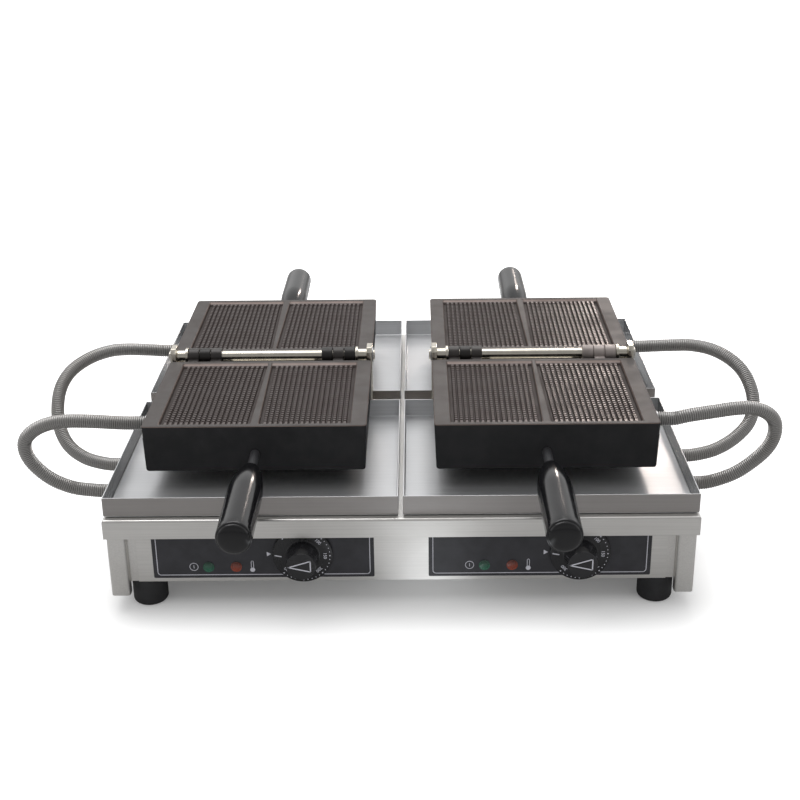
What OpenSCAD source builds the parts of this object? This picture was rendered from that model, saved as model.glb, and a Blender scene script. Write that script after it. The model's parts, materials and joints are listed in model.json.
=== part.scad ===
// Double waffle maker for a counter: two units side by side, each with two
// cast irons on one hinge that fold open flat, over removable drip trays.
// Origin on the counter under the middle of the hinge line, +Z up, front at -Y.

/* [Housing] */
// Width across the outer faces of the two side panels
body_w = 617; // [560:1:760]
// Depth from the front flange to the rear flange
body_d = 550; // [480:1:640]
// Height of the deck above the counter
deck_h = 110; // [96:1:150]
// Thickness of the bent steel sheet
sheet_t = 1.5; // [1:0.1:2.5]
// Height of the side panels' lower edge above the counter
side_clear = 19; // [8:1:26]
// Width of the flange that shows at each corner
flange_w = 19.7; // [14:0.1:28]
// How far the front and rear panels lie behind the flanges
panel_recess = 8; // [4:0.5:14]
// Width of the shadow groove beside the flange
groove_w = 8.8; // [4:0.1:14]
// Width of the hidden flange behind the front and rear panels
lap_w = 10; // [6:0.5:20]
// Height of the skirt that the deck cap hangs over the body
skirt_h = 22; // [12:0.5:30]
// Play between the skirt and the side panels
skirt_gap = 0.8; // [0.3:0.1:0.9]
// Inner radius of the sheet's bends
bend_r = 1.5; // [1:0.1:3]

/* [Feet] */
// Height of the rubber feet, and of the panels' lower edge
foot_h = 31.5; // [27:0.5:45]
// Radius of a foot
foot_r = 18.7; // [12:0.1:24]
// Radius of the foot's lower edge
foot_edge_r = 6; // [2:0.5:7]
// Distance from the side of the body to a foot's centre
foot_inset_x = 36; // [30:0.1:70]
// Distance from the flange's face to a foot's centre
foot_inset_y = 27; // [30:0.5:70]

/* [Drip trays] */
// Width of one tray
tray_w = 307.3; // [250:0.1:307.5]
// Depth of one tray
tray_d = 256.6; // [220:0.1:258]
// Height of a tray
tray_h = 22.5; // [12:0.5:40]
// Thickness of a tray's sheet
tray_t = 1.2; // [0.8:0.1:2]
// Gap between the left and right trays
tray_gap = 5; // [2:0.5:12]
// Gap between the front and rear trays, where the hinge stands are
hinge_gap = 28; // [27:0.5:40]
// Play under a tray
tray_play = 0.3; // [0.2:0.1:0.6]

/* [Irons] */
// Distance between the middles of the two units
unit_pitch = 312; // [270:1:340]
// Width of an iron at its baking face
iron_w = 240; // [200:1:260]
// Length of an iron from its hinge wall to its handle wall
iron_d = 191; // [150:1:210]
// Height of an iron with its cover
iron_h = 51.7; // [44:0.1:70]
// How far each side leans in over the height
iron_draft = 2; // [0:0.5:6]
// Thickness of the cast grid plate
plate_t = 14; // [11:0.5:18]
// Thickness of the cover's sheet
cover_t = 1.5; // [1:0.1:2.5]
// Radius of the iron's upright corners
corner_r = 4; // [1:0.5:8]
// Radius of the cover's lower edges
cover_edge_r = 3; // [1:0.5:6]
// Distance from the hinge axis to the iron's hinge wall
hinge_reach = 17.5; // [17.5:0.5:24]
// Gap between the two baking faces when the irons are shut
shut_gap = 0.5; // [0.2:0.1:2]
// Gap between an iron that lies open and the tray's rim
tray_clear = 1; // [0.5:0.5:10]

/* [Grid] */
// Width of the rim at each side of the baking face
side_rim = 17; // [8:0.5:30]
// Width of the rims beside the hinge and the handle
end_rim = 6; // [4:0.5:20]
// Width of the bar between the two baking fields
divider_w = 8; // [4:0.5:20]
// How far a field's walls lean in down to its ribs
field_slope = 2.5; // [0:0.5:5]
// Depth of the rib tops below the rim
rib_drop = 3.5; // [1:0.5:5]
// Height of the ribs
rib_h = 3.5; // [1:0.5:5]
// Distance from rib to rib
rib_pitch = 5.7; // [4:0.1:12]
// Width of a rib's flat top
rib_top_w = 1.6; // [0.8:0.1:2]
// Width of the flat between two ribs
rib_valley_w = 1.4; // [0.8:0.1:2]

/* [Hinge] */
// Radius of the hinge shaft
shaft_r = 6; // [4:0.5:7]
// Running play round the shaft
shaft_play = 0.05; // [0.02:0.01:0.1]
// Radius of the plates' hinge knuckles
knuckle_r = 9.5; // [9:0.5:11]
// Width of one knuckle
knuckle_w = 13; // [8:0.5:16]
// Gap between two knuckles
knuckle_gap = 0.5; // [0.3:0.1:1.5]
// Distance from the unit's middle to its first knuckle
knuckle_start = 60; // [54:0.5:62]
// Height of the arms that carry the knuckles
arm_h = 9; // [6:0.5:9]
// Radius of the sleeve's flange
flange_r = 10; // [9:0.5:12]
// Thickness of the sleeve's flange
flange_t = 3; // [2:0.5:4]
// Radius of the sleeve
sleeve_r = 7.2; // [7.2:0.1:9]
// Length of a sleeve with its flange
sleeve_l = 13.5; // [8:0.5:16]
// Thickness of the stand's uprights
upright_t = 6.5; // [4:0.5:10]
// Depth of the stand's uprights and of its base
upright_d = 25; // [20:0.5:25]
// Height of the uprights above the shaft's middle
upright_rise = 12; // [9:0.5:12]
// Bevel at the top of the uprights
upright_bevel = 5; // [4:0.5:8]
// Thickness of the stand's base
stand_base_t = 3; // [2:0.5:6]
// Width of the rail that the open irons lean against
rail_w = 100; // [60:1:106]
// Height of the rail
rail_h = 28; // [15:0.5:30]
// Distance from the rail's lower edge to the deck
rail_lift = 30; // [25:0.5:34]
// Play between the rail and an iron that lies open
rail_play = 0.3; // [0.2:0.1:0.6]
// Thickness of the rail's web
web_t = 12; // [6:0.5:20]
// How far the shaft stands out of the uprights
shaft_proud = 3; // [2:0.5:6]
// Thickness of the retaining rings
ring_t = 1.2; // [0.8:0.1:1.6]
// Outer radius of the retaining rings
ring_r = 9; // [8:0.5:11]

/* [Handles] */
// Radius of the handle rod
rod_r = 5; // [3:0.5:6]
// Distance from the baking face down to the rod's middle
rod_drop = 32.2; // [28:0.1:36]
// Width of the boss that holds the rod
boss_w = 20; // [16:0.5:30]
// Length of the boss
boss_l = 24; // [14:0.5:40]
// Bare length of the rod between the iron and the grip
rod_bare = 35.5; // [10:0.5:60]
// Radius of the grip where it starts on the rod
grip_neck_r = 7; // [6.5:0.5:10]
// Largest radius of the grip
grip_r = 18.2; // [12:0.1:18.2]
// Radius of the grip's round end
grip_end_r = 17.6; // [11:0.1:18]
// Length over which the grip swells
grip_swell_l = 66; // [30:1:90]
// Length of the grip's body after the swell
grip_body_l = 82; // [40:1:110]
// Length of the rod inside the grip
rod_grip_l = 120; // [50:1:124]

/* [Controls] */
// Width of a control overlay
overlay_w = 234.5; // [200:0.5:260]
// Height of a control overlay
overlay_h = 62; // [50:0.5:66]
// Height of the overlay's lower edge above the panel's lower edge
overlay_lift = 4.5; // [2:0.5:8]
// Distance from each end of the front panel to the nearer overlay
overlay_inset = 16.75; // [8:0.25:30]
// Thickness of an overlay
overlay_t = 0.6; // [0.3:0.1:1.5]
// Radius of an overlay's corners
overlay_corner_r = 1.5; // [1:0.5:8]
// Distance from the overlay's middle to the knob
knob_x = 42.2; // [30:0.1:70]
// Height of the knob above the overlay's lower edge
knob_z = 28.2; // [26:0.1:32]
// Radius of the knob's skirt
knob_r = 31.7; // [20:0.1:34]
// Radius of the knob's grip at its foot
knob_grip_r = 17; // [10:0.5:18]
// Radius of the knob's grip at its face
knob_face_r = 15.5; // [9:0.5:16]
// Height of the whole knob
knob_h = 27.5; // [20:0.5:32]
// Thickness of the knob's skirt
knob_skirt_t = 3.4; // [2:0.1:5]
// Play between the knob and the overlay
knob_play = 1; // [0.5:0.1:2]
// Wall of the knob's moulding
knob_wall = 2; // [1.5:0.1:2.5]
// Radius of the knob's hub
hub_r = 6.5; // [5:0.5:8]
// Radius of the thermostat's spindle
spindle_r = 3; // [2:0.5:3.5]
// Length of the spindle inside the knob
spindle_seat_l = 16; // [10:0.5:20]
// Length of the spindle inside the thermostat
spindle_root_l = 10; // [6:0.5:16]
// Radius of the thermostat's bush
bush_r = 5; // [4.5:0.5:6]
// Width and height of the thermostat's body
thermostat_w = 34; // [26:1:40]
// Depth of the thermostat's body
thermostat_d = 24; // [18:1:40]
// Radius of a pilot lamp's bezel
lamp_r = 6; // [4:0.5:8]
// Radius of a pilot lamp's barrel
lamp_barrel_r = 4.8; // [3:0.1:5]
// Length of a pilot lamp's barrel behind the overlay
lamp_barrel_l = 22; // [10:1:40]
// How far a pilot lamp stands out
lamp_proud = 2.4; // [1:0.1:5]
// Height of the lamps above the overlay's lower edge
lamp_z = 13.3; // [9:0.1:20]
// Distance from the overlay's middle to the power lamp
power_lamp_x = 58.3; // [50:0.1:90]
// Distance from the overlay's middle to the heating lamp
heating_lamp_x = 29; // [10:0.1:40]

/* [Hoses] */
// Outer radius of a hose over its ribs
hose_r = 8; // [6:0.5:9]
// Depth of the grooves between the ribs
hose_groove = 1.1; // [0.5:0.1:1.5]
// Radius of a hose's bore
hose_bore_r = 4.8; // [3:0.1:5]
// Number of ribs on a hose
hose_ribs = 50; // [20:1:50]
// Distance behind the hinge of a rear cover's gland
rear_gland_y = 82; // [60:1:110]
// Distance in front of the hinge of a front cover's gland
front_gland_y = 144; // [110:1:160]
// Distance from the baking face down to the cover's gland
gland_drop = 23.5; // [20:0.5:30]
// Width across flats of a gland's nut
gland_af = 19; // [16:0.5:19]
// Length of an upper gland outside the cover
gland_l = 8; // [6:0.5:14]
// Play between an upper gland and the widest part of the cover
gland_play = 0.1; // [0.05:0.05:0.5]
// Radius of a gland's threaded stub
stub_r = 6.5; // [6:0.1:7.5]
// Length of a gland's stub behind its nut
stub_l = 14; // [10:0.5:20]
// Length of a lower gland outside the side panel
low_gland_l = 10; // [8:0.5:20]
// Height of the lower glands above the counter
low_gland_z = 74; // [60:0.5:76]
// Thickness of the glands' locknuts
locknut_t = 4; // [2:0.5:6]
// How much smaller the hoses' locknuts are across the flats than their glands
locknut_step = 1; // [0.5:0.5:4]

/* [Inside and rear] */
// Radius of the heating element's tube
element_r = 3.25; // [2.5:0.05:4.5]
// Distance between the element's runs
element_pitch = 60; // [50:1:62]
// Gap between the element's bends and the boss, and the hinge wall
element_inset = 16; // [8:1:30]
// Radius of the cable gland's bore
cable_r = 4.5; // [3:0.1:6]
// Width across flats of the cable gland
cable_gland_af = 24; // [20:0.5:28]
// Length of the cable gland outside the rear panel
cable_gland_l = 18; // [12:0.5:24]
// Distance from the end of the rear panel to the cable gland
cable_gland_inset = 80; // [60:1:110]
// Height of the cable gland above the panel's lower edge
cable_gland_z = 26; // [20:0.5:50]
// Width of a vent slot
slot_w = 4; // [3:0.5:6]
// Height of a vent slot
slot_h = 34; // [20:1:44]
// Number of slots in each group of vents
slot_count = 9; // [3:1:11]

/* [Hidden] */
$fn = 64;

// Signs that place a piece at the left or right, and at the front or rear
left = -1;
right = 1;
front = -1;
rear = 1;

// Overrun of a cut past the face that it opens
cut = 1;
// Slack between pieces that are screwed or pressed together
seat = 0.1;
// Gap between the side panels and the underside of the deck's lid
cap_play = 0.3;
// How deep an arm or a boss is rooted in the casting that carries it
root = 2;

// Faces of the housing
side_x = body_w / 2;
flange_y = body_d / 2;
panel_y = flange_y - panel_recess;
lap_y = panel_y - sheet_t;
panel_w = body_w - 2 * (flange_w + groove_w);
panel_h = deck_h - sheet_t - foot_h;
side_h = deck_h - sheet_t - side_clear - cap_play;
plate_y = lap_y - sheet_t;
fold_w = 10;
lip_h = 12;
cable_gland_x = panel_w / 2 - cable_gland_inset;
cap_w = body_w + 2 * (skirt_gap + sheet_t);
cap_d = body_d + 2 * (skirt_gap + sheet_t);
overlay_pitch = panel_w - 2 * overlay_inset - overlay_w;
overlay_z = foot_h + overlay_lift;
overlay_y = panel_y + overlay_t;

// Screws of the feet
foot_screw_r = 2.5;
foot_head_r = 5;
foot_head_h = 3.5;
foot_head_z = foot_h / 2;
foot_nut_af = 8;
foot_nut_h = 4;

// Height of the trays' floor and of the hinge axis
tray_z = deck_h + tray_play;
axis_z = tray_z + tray_h + tray_clear + iron_h + shut_gap / 2;

// Irons, measured from the hinge axis
face_drop = shut_gap / 2;
field_w = (iron_w - 2 * side_rim - divider_w) / 2;
field_x = (field_w + divider_w) / 2;
field_d = iron_d - 2 * end_rim;
field_y = hinge_reach + iron_d / 2;
ribs_w = field_w - 2 * field_slope;
rib_count = floor((ribs_w - rib_valley_w) / rib_pitch);
rib_flank = (rib_pitch - rib_top_w - rib_valley_w) / 2;
knuckle_step = knuckle_w + knuckle_gap;
knuckle_end = knuckle_start + 3 * knuckle_w + 2 * knuckle_gap;
upright_x = knuckle_end + knuckle_gap + sleeve_l;
rail_d = 2 * (hinge_reach - rail_play);
stand_w = 2 * (upright_x + upright_t);
stand_foot = 5;
rod_z = -face_drop - rod_drop;
rod_y = hinge_reach + iron_d;
boss_y = rod_y - cover_t - seat - boss_l;
boss_top = -face_drop - plate_t;
boss_bottom = rod_z - boss_w / 2;
grip_y = rod_y + rod_bare;

// Glands and hoses
gland_z = -face_drop - gland_drop;
gland_face = iron_w / 2 - lean(plate_t) + gland_play;
hose_seat = 0.1;
hose_top_x = unit_pitch / 2 + gland_face + gland_l + hose_seat;
hose_top_z = axis_z + gland_z;
hose_low_x = side_x + low_gland_l + hose_seat;
left_low_front_y = -136;
left_low_rear_y = -66;
right_low_front_y = -127;
right_low_rear_y = -54;
hose_sides = 8;
bore_rings = 22;
// Samples along each span of a route
span_steps = 10;

// Points that each hose passes on its way round, between its two glands
left_front_route = [[-345, -143, 164], [-373, -142, 164], [-392, -141, 161], [-410, -140, 153],
    [-422, -140, 141], [-424, -139, 126], [-417, -138, 109], [-400, -137, 91], [-377, -136, 79],
    [-352, -136, 75]];
left_rear_route = [[-321, 80, 164], [-345, 72, 168], [-366, 61, 170], [-388, 45, 167], [-407, 26, 158],
    [-417, 8, 144], [-419, -10, 126], [-414, -29, 106], [-401, -45, 89], [-380, -56, 78], [-354, -64, 74]];
right_front_route = [[320, -144, 166], [345, -142, 169], [372, -140, 172], [392, -138, 171],
    [408, -137, 164], [417, -135, 152], [418, -134, 136], [412, -133, 120], [399, -130, 103],
    [379, -129, 87], [354, -127, 76]];
right_rear_route = [[316, 81, 163], [340, 75, 166], [362, 66, 169], [385, 52, 168], [406, 35, 160],
    [420, 18, 146], [426, -2, 125], [420, -20, 104], [401, -35, 89], [376, -47, 79], [352, -53, 75]];

// How far an iron's side has come in at a depth below the baking face
function lean(depth) = iron_draft * depth / iron_h;

// Points on an arc, with both ends
function arc(centre, r, from, to, steps = 6) =
    [for (i = [0:steps]) centre + r * [cos(from + (to - from) * i / steps), sin(from + (to - from) * i / steps)]];

// One side of a strip of sheet along square bends; side is 1 for the left edge and -1 for the right
function strip_edge(path, t, r, side) = let (last = len(path) - 1) [
    for (i = [0:last])
        let (
            d0 = unit_of(path[i] - path[max(i - 1, 0)], path[1] - path[0]),
            d1 = unit_of(path[min(i + 1, last)] - path[i], path[last] - path[last - 1]),
            n0 = [-d0[1], d0[0]],
            turn = sign(n0 * d1),
            centre = path[i] - d0 * r + n0 * turn * r
        )
        each (i == 0 || i == last)
            ? [path[i] + n0 * side * t / 2]
            : [for (k = [0:4]) centre + (r - side * turn * t / 2) * (d0 * sin(22.5 * k) - n0 * turn * cos(22.5 * k))]
];

// Direction of a vector, or of another one where it has no length
function unit_of(v, other) = norm(v) > 0 ? v / norm(v) : other / norm(other);

// Outline of a strip of sheet of thickness t, whose middle follows a path
function strip(path, t, r) = concat(strip_edge(path, t, r, 1), [
    for (i = [0:len(strip_edge(path, t, r, -1)) - 1])
        strip_edge(path, t, r, -1)[len(strip_edge(path, t, r, -1)) - 1 - i]
]);

// Plate in the XY plane with round corners
module rounded_plate(w, d, h, r) {
    linear_extrude(h) {
        square([w - 2 * r, d], center = true);
        square([w, d - 2 * r], center = true);
        for (x = [-1, 1], y = [-1, 1])
            translate([x * (w / 2 - r), y * (d / 2 - r)])
                circle(r);
    }
}

// Outline of a folded pan from the side, with its bends at the bottom
module pan_outline(w, h, r) {
    translate([-w / 2, r])
        square([w, h - r]);
    translate([-w / 2 + r, 0])
        square([w - 2 * r, h]);
    for (x = [-1, 1])
        translate([x * (w / 2 - r), r])
            circle(r);
}

// Block with bent edges all round its bottom
module pan_block(w, d, h, r) {
    intersection() {
        rotate([90, 0, 0])
            linear_extrude(d, center = true)
                pan_outline(w, h, r);
        rotate([90, 0, 90])
            linear_extrude(w, center = true)
                pan_outline(d, h, r);
    }
}

// Pan folded from sheet, open at the top
module folded_pan(w, d, h, t, r) {
    difference() {
        pan_block(w, d, h, r + t);
        translate([0, 0, t])
            pan_block(w - 2 * t, d - 2 * t, h - t + cut, r);
    }
}

// Hexagon nut along Z with a round hole
module hex_nut(af, h, hole_r) {
    difference() {
        cylinder(r = af / sqrt(3), h = h, $fn = 6);
        translate([0, 0, -cut])
            cylinder(r = hole_r, h = h + 2 * cut);
    }
}

// Side panel: wall, a flange at the front and rear, and a return that ends behind each panel
module side_panel(side) {
    mid = sheet_t / 2;
    return_x = side_x - flange_w + mid;
    lap_x = side_x - flange_w - groove_w - lap_w;
    path = [[lap_x, -lap_y + mid], [return_x, -lap_y + mid], [return_x, -flange_y + mid],
        [side_x - mid, -flange_y + mid], [side_x - mid, flange_y - mid], [return_x, flange_y - mid],
        [return_x, lap_y - mid], [lap_x, lap_y - mid]];
    color("silver")
        difference() {
            union() {
                translate([0, 0, side_clear])
                    linear_extrude(side_h)
                        polygon([for (p = strip(path, sheet_t, bend_r + mid)) [side * p[0], p[1]]]);
                translate([side * (side_x - mid - fold_w / 2), 0, side_clear + mid])
                    cube([fold_w, body_d - 2 * flange_w, sheet_t], center = true);
            }
            // The laps end at the panels' lower edge, above the feet
            for (y = [front, rear])
                translate([side * (lap_x + return_x - sheet_t) / 2, y * lap_y, foot_h / 2])
                    cube([return_x - lap_x, fold_w, foot_h], center = true);
            for (y = side == left ? [left_low_front_y, left_low_rear_y] : [right_low_front_y, right_low_rear_y])
                translate([side * side_x, y, low_gland_z])
                    rotate([0, 90, 0])
                        cylinder(r = stub_r + seat, h = 2 * fold_w, center = true);
        }
}

// Panel sheet between the flanges, standing on the bottom plate's edge
module panel_sheet(y) {
    translate([-panel_w / 2, y - sheet_t / 2, foot_h])
        cube([panel_w, sheet_t, panel_h]);
}

module front_panel() {
    color("silver")
        difference() {
            panel_sheet(-panel_y + sheet_t / 2);
            for (unit = [left, right]) {
                control_hole(unit, knob_x, knob_z, bush_r);
                control_hole(unit, -power_lamp_x, lamp_z, lamp_barrel_r);
                control_hole(unit, -heating_lamp_x, lamp_z, lamp_barrel_r);
            }
        }
}

// Hole through the front panel and an overlay
module control_hole(unit, x, z, r) {
    translate([unit * overlay_pitch / 2 + x, -panel_y, overlay_z + z])
        rotate([90, 0, 0])
            cylinder(r = r + seat, h = 4 * sheet_t, center = true);
}

module rear_panel() {
    slot_pitch = 3 * slot_w;
    vent_x = cable_gland_x - slot_pitch * (slot_count + 1) / 2;
    color("silver")
        difference() {
            panel_sheet(panel_y - sheet_t / 2);
            for (unit = [left, right], i = [0:slot_count - 1])
                translate([unit * vent_x + (i - (slot_count - 1) / 2) * slot_pitch, panel_y, foot_h + panel_h / 2])
                    rotate([90, 0, 0])
                        rounded_slot();
            translate([-cable_gland_x, panel_y, foot_h + cable_gland_z])
                rotate([90, 0, 0])
                    cylinder(r = cable_gland_af / 3 + seat, h = 4 * sheet_t, center = true);
        }
}

module rounded_slot() {
    translate([0, 0, -2 * sheet_t])
        linear_extrude(4 * sheet_t) {
            square([slot_w, slot_h - slot_w], center = true);
            for (y = [-1, 1])
                translate([0, y * (slot_h - slot_w) / 2])
                    circle(slot_w / 2);
        }
}

// Sheet lid with a skirt all round
module deck_cap() {
    color("gainsboro")
        translate([0, 0, deck_h])
            mirror([0, 0, 1])
                folded_pan(cap_w, cap_d, skirt_h, sheet_t, bend_r);
}

// Floor of the housing, with a lip up behind the front and rear panels
module bottom_plate() {
    lip_w = panel_w - 2 * (lap_w + cut);
    color("darkgray")
        difference() {
            union() {
                translate([-side_x + sheet_t, -plate_y, foot_h])
                    cube([body_w - 2 * sheet_t, 2 * plate_y, sheet_t]);
                for (y = [front, rear])
                    translate([-lip_w / 2, y * (lap_y - sheet_t / 2) - sheet_t / 2, foot_h])
                        cube([lip_w, sheet_t, lip_h]);
            }
            at_feet()
                translate([0, 0, foot_h - cut])
                    cylinder(r = foot_screw_r + seat, h = sheet_t + 2 * cut);
        }
}

module at_feet() {
    for (x = [-1, 1], y = [-1, 1])
        translate([x * (side_x - foot_inset_x), y * (flange_y - foot_inset_y), 0])
            children();
}

module feet() {
    profile = concat([[foot_head_r + 2 * cut, 0]],
        arc([foot_r - foot_edge_r, foot_edge_r], foot_edge_r, -90, 0),
        [[foot_r, foot_h - cut], [foot_r - cut, foot_h], [foot_screw_r + seat, foot_h],
            [foot_screw_r + seat, foot_head_z + foot_head_h], [foot_head_r + seat, foot_head_z + foot_head_h],
            [foot_head_r + seat, foot_head_z]]);
    color("dimgray")
        at_feet()
            rotate_extrude()
                polygon(profile);
}

module foot_screws() {
    color("lightgray")
        at_feet() {
            translate([0, 0, foot_head_z + seat])
                cylinder(r = foot_head_r, h = foot_head_h - seat);
            translate([0, 0, foot_head_z + foot_head_h - seat])
                cylinder(r = foot_screw_r, h = foot_h + sheet_t + foot_nut_h + cut - foot_head_z - foot_head_h);
            translate([0, 0, foot_h + sheet_t])
                cylinder(r = foot_nut_af / sqrt(3), h = foot_nut_h, $fn = 6);
        }
}

// Dark plate in front of the panel, with holes for the knob's bush and the two lamps
module control_overlay(unit) {
    color("darkslategray")
        difference() {
            translate([unit * overlay_pitch / 2, -panel_y, overlay_z + overlay_h / 2])
                rotate([90, 0, 0])
                    rounded_plate(overlay_w, overlay_h, overlay_t, overlay_corner_r);
            control_hole(unit, knob_x, knob_z, bush_r);
            control_hole(unit, -power_lamp_x, lamp_z, lamp_barrel_r);
            control_hole(unit, -heating_lamp_x, lamp_z, lamp_barrel_r);
        }
}

// Pilot lamp: barrel through the panel, and a bezel with a low dome in front
module pilot_lamp(unit, x) {
    bezel_t = lamp_proud / 3;
    dome = concat([[0, -lamp_barrel_l], [lamp_barrel_r, -lamp_barrel_l], [lamp_barrel_r, 0], [lamp_r, 0],
            [lamp_r, bezel_t]],
        [for (a = [0:15:90]) [lamp_barrel_r * cos(a), bezel_t + (lamp_proud - bezel_t) * sin(a)]]);
    translate([unit * overlay_pitch / 2 + x, -overlay_y, overlay_z + lamp_z])
        rotate([90, 0, 0])
            rotate_extrude()
                polygon(dome);
}

module power_lamps() {
    color("seagreen")
        for (unit = [left, right])
            pilot_lamp(unit, -power_lamp_x);
}

module heating_lamps() {
    color("orangered")
        for (unit = [left, right])
            pilot_lamp(unit, -heating_lamp_x);
}

// Places a control piece on its knob's axis, with +Z out of the panel from the overlay's face
module at_knob(unit) {
    translate([unit * overlay_pitch / 2 + knob_x, -overlay_y, overlay_z + knob_z])
        rotate([90, 0, 0])
            children();
}

// Thermostats behind the panel: a body with blade terminals and a bush for the spindle
module thermostats() {
    body_top = -overlay_t - sheet_t;
    blade = [6.3, 0.8, 8];
    color("whitesmoke")
        for (unit = [left, right])
            at_knob(unit)
                difference() {
                    union() {
                        translate([0, 0, body_top - thermostat_d])
                            rounded_plate(thermostat_w, thermostat_w, thermostat_d, bush_r / 2);
                        translate([0, 0, body_top - cut])
                            cylinder(r = bush_r, h = cut - body_top);
                        for (x = [-1, 0, 1])
                            translate([x * thermostat_w / 3, 0, body_top - thermostat_d - blade[2] / 2 + cut / 2])
                                cube([blade[0], blade[1], blade[2] + cut], center = true);
                    }
                    translate([0, 0, -spindle_root_l - shaft_play])
                        cylinder(r = spindle_r + shaft_play, h = spindle_root_l + 2 * cut);
                }
}

module spindle(unit) {
    color("silver")
        at_knob(unit)
            translate([0, 0, -spindle_root_l + shaft_play])
                cylinder(r = spindle_r, h = spindle_root_l + knob_play + spindle_seat_l);
}

// Moulded knob: a thin skirt that carries the scale, and a hollow grip round a hub
module knob(unit) {
    skirt_z = knob_play;
    top = knob_play + knob_h;
    wall_r = knob_grip_r - knob_wall;
    profile = [[spindle_r + seat / 2, skirt_z], [spindle_r + seat / 2, skirt_z + spindle_seat_l + seat],
        [0, skirt_z + spindle_seat_l + seat], [0, top], [knob_face_r - knob_wall, top],
        [knob_face_r, top - knob_wall], [knob_grip_r, skirt_z + knob_skirt_t + knob_wall],
        [knob_grip_r + knob_wall, skirt_z + knob_skirt_t], [knob_r - knob_wall, skirt_z + knob_skirt_t - knob_play / 2],
        [knob_r, skirt_z + knob_skirt_t / 2], [knob_r, skirt_z], [knob_r - knob_wall, skirt_z],
        [knob_r - knob_wall, skirt_z + knob_skirt_t / 2], [wall_r, skirt_z + knob_skirt_t / 2],
        [knob_face_r - knob_wall, top - 2 * knob_wall], [hub_r, top - 2 * knob_wall], [hub_r, skirt_z]];
    color("black")
        at_knob(unit)
            rotate_extrude()
                polygon(profile);
}

// Strain-relief gland for the power cable, through the rear panel
module cable_gland() {
    flange_l = cable_gland_l / 3;
    color("dimgray")
        translate([-cable_gland_x, panel_y, foot_h + cable_gland_z])
            rotate([-90, 0, 0])
                difference() {
                    union() {
                        cylinder(r = cable_gland_af / sqrt(3), h = flange_l, $fn = 6);
                        translate([0, 0, flange_l])
                            cylinder(r1 = cable_gland_af / 2, r2 = cable_gland_af / 3, h = cable_gland_l - flange_l);
                        translate([0, 0, -sheet_t - locknut_t - cut])
                            cylinder(r = cable_gland_af / 3, h = sheet_t + locknut_t + 2 * cut);
                        translate([0, 0, -sheet_t - locknut_t])
                            cylinder(r = cable_gland_af / sqrt(3), h = locknut_t, $fn = 6);
                    }
                    cylinder(r = cable_r, h = 4 * cable_gland_l, center = true);
                }
}

// Terminal block on the bottom plate, with a screw hole over each way
module terminal_block() {
    way = 12;
    ways = 5;
    block_d = 2 * way;
    block_h = 1.5 * way;
    color("ivory")
        translate([-cable_gland_x, panel_y - 5 * way, foot_h + sheet_t])
            difference() {
                for (i = [0:ways - 1])
                    translate([(i - ways / 2) * way, -block_d / 2, 0]) {
                        cube([way, block_d, block_h - way / 3]);
                        translate([way / 6, way / 4, 0])
                            cube([way * 2 / 3, block_d - way / 2, block_h]);
                    }
                for (i = [0:ways - 1], y = [-1, 1])
                    translate([(i - (ways - 1) / 2) * way, y * way / 2, block_h / 3])
                        cylinder(r = way / 4, h = block_h);
            }
}

// Base strip, two bevelled uprights with a bore, and the rail that the open irons lean against
module hinge_stand(unit) {
    rise = axis_z - deck_h + upright_rise;
    half = upright_d / 2;
    color("silver")
        translate([unit * unit_pitch / 2, 0, deck_h]) {
            translate([-stand_w / 2 - stand_foot, -half, 0])
                cube([stand_w + 2 * stand_foot, upright_d, stand_base_t]);
            for (x = [-1, 1])
                translate([x * (upright_x + upright_t / 2), 0, 0])
                    difference() {
                        rotate([90, 0, 90])
                            linear_extrude(upright_t, center = true)
                                polygon([[-half, 0], [half, 0], [half, rise - upright_bevel],
                                    [half - upright_bevel, rise], [-half + upright_bevel, rise],
                                    [-half, rise - upright_bevel]]);
                        translate([0, 0, axis_z - deck_h])
                            rotate([0, 90, 0])
                                cylinder(r = shaft_r + shaft_play, h = upright_t + 2 * cut, center = true);
                    }
            translate([-rail_w / 2, -web_t / 2, 0])
                cube([rail_w, web_t, rail_lift + rail_h]);
            translate([-rail_w / 2, -rail_d / 2, rail_lift])
                cube([rail_w, rail_d, rail_h]);
        }
}

module hinge_shaft(unit) {
    length = stand_w + 2 * shaft_proud;
    color("silver")
        translate([unit * unit_pitch / 2, 0, axis_z])
            rotate([0, 90, 0])
                cylinder(r = shaft_r, h = length, center = true);
}

// Flanged sleeves between the outer knuckles and the uprights
module hinge_sleeves() {
    profile = [[shaft_r + shaft_play, 0], [flange_r, 0], [flange_r, flange_t], [sleeve_r, flange_t],
        [sleeve_r, sleeve_l - seat], [shaft_r + shaft_play, sleeve_l - seat]];
    color("tan")
        for (unit = [left, right], side = [-1, 1])
            translate([unit * unit_pitch / 2 + side * (knuckle_end + knuckle_gap), 0, axis_z])
                rotate([0, side * 90, 0])
                    rotate_extrude()
                        polygon(profile);
}

// Split retaining rings on the shafts' ends
module hinge_retainers() {
    color("gray")
        for (unit = [left, right], side = [-1, 1])
            translate([unit * unit_pitch / 2 + side * (stand_w / 2 + seat), 0, axis_z])
                rotate([0, side * 90, 0])
                    difference() {
                        cylinder(r = ring_r, h = ring_t);
                        translate([0, 0, -cut])
                            cylinder(r = shaft_r + shaft_play, h = ring_t + 2 * cut);
                        translate([0, -shaft_r / 2, -cut])
                            cube([2 * ring_r, shaft_r, ring_t + 2 * cut]);
                    }
}

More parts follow.
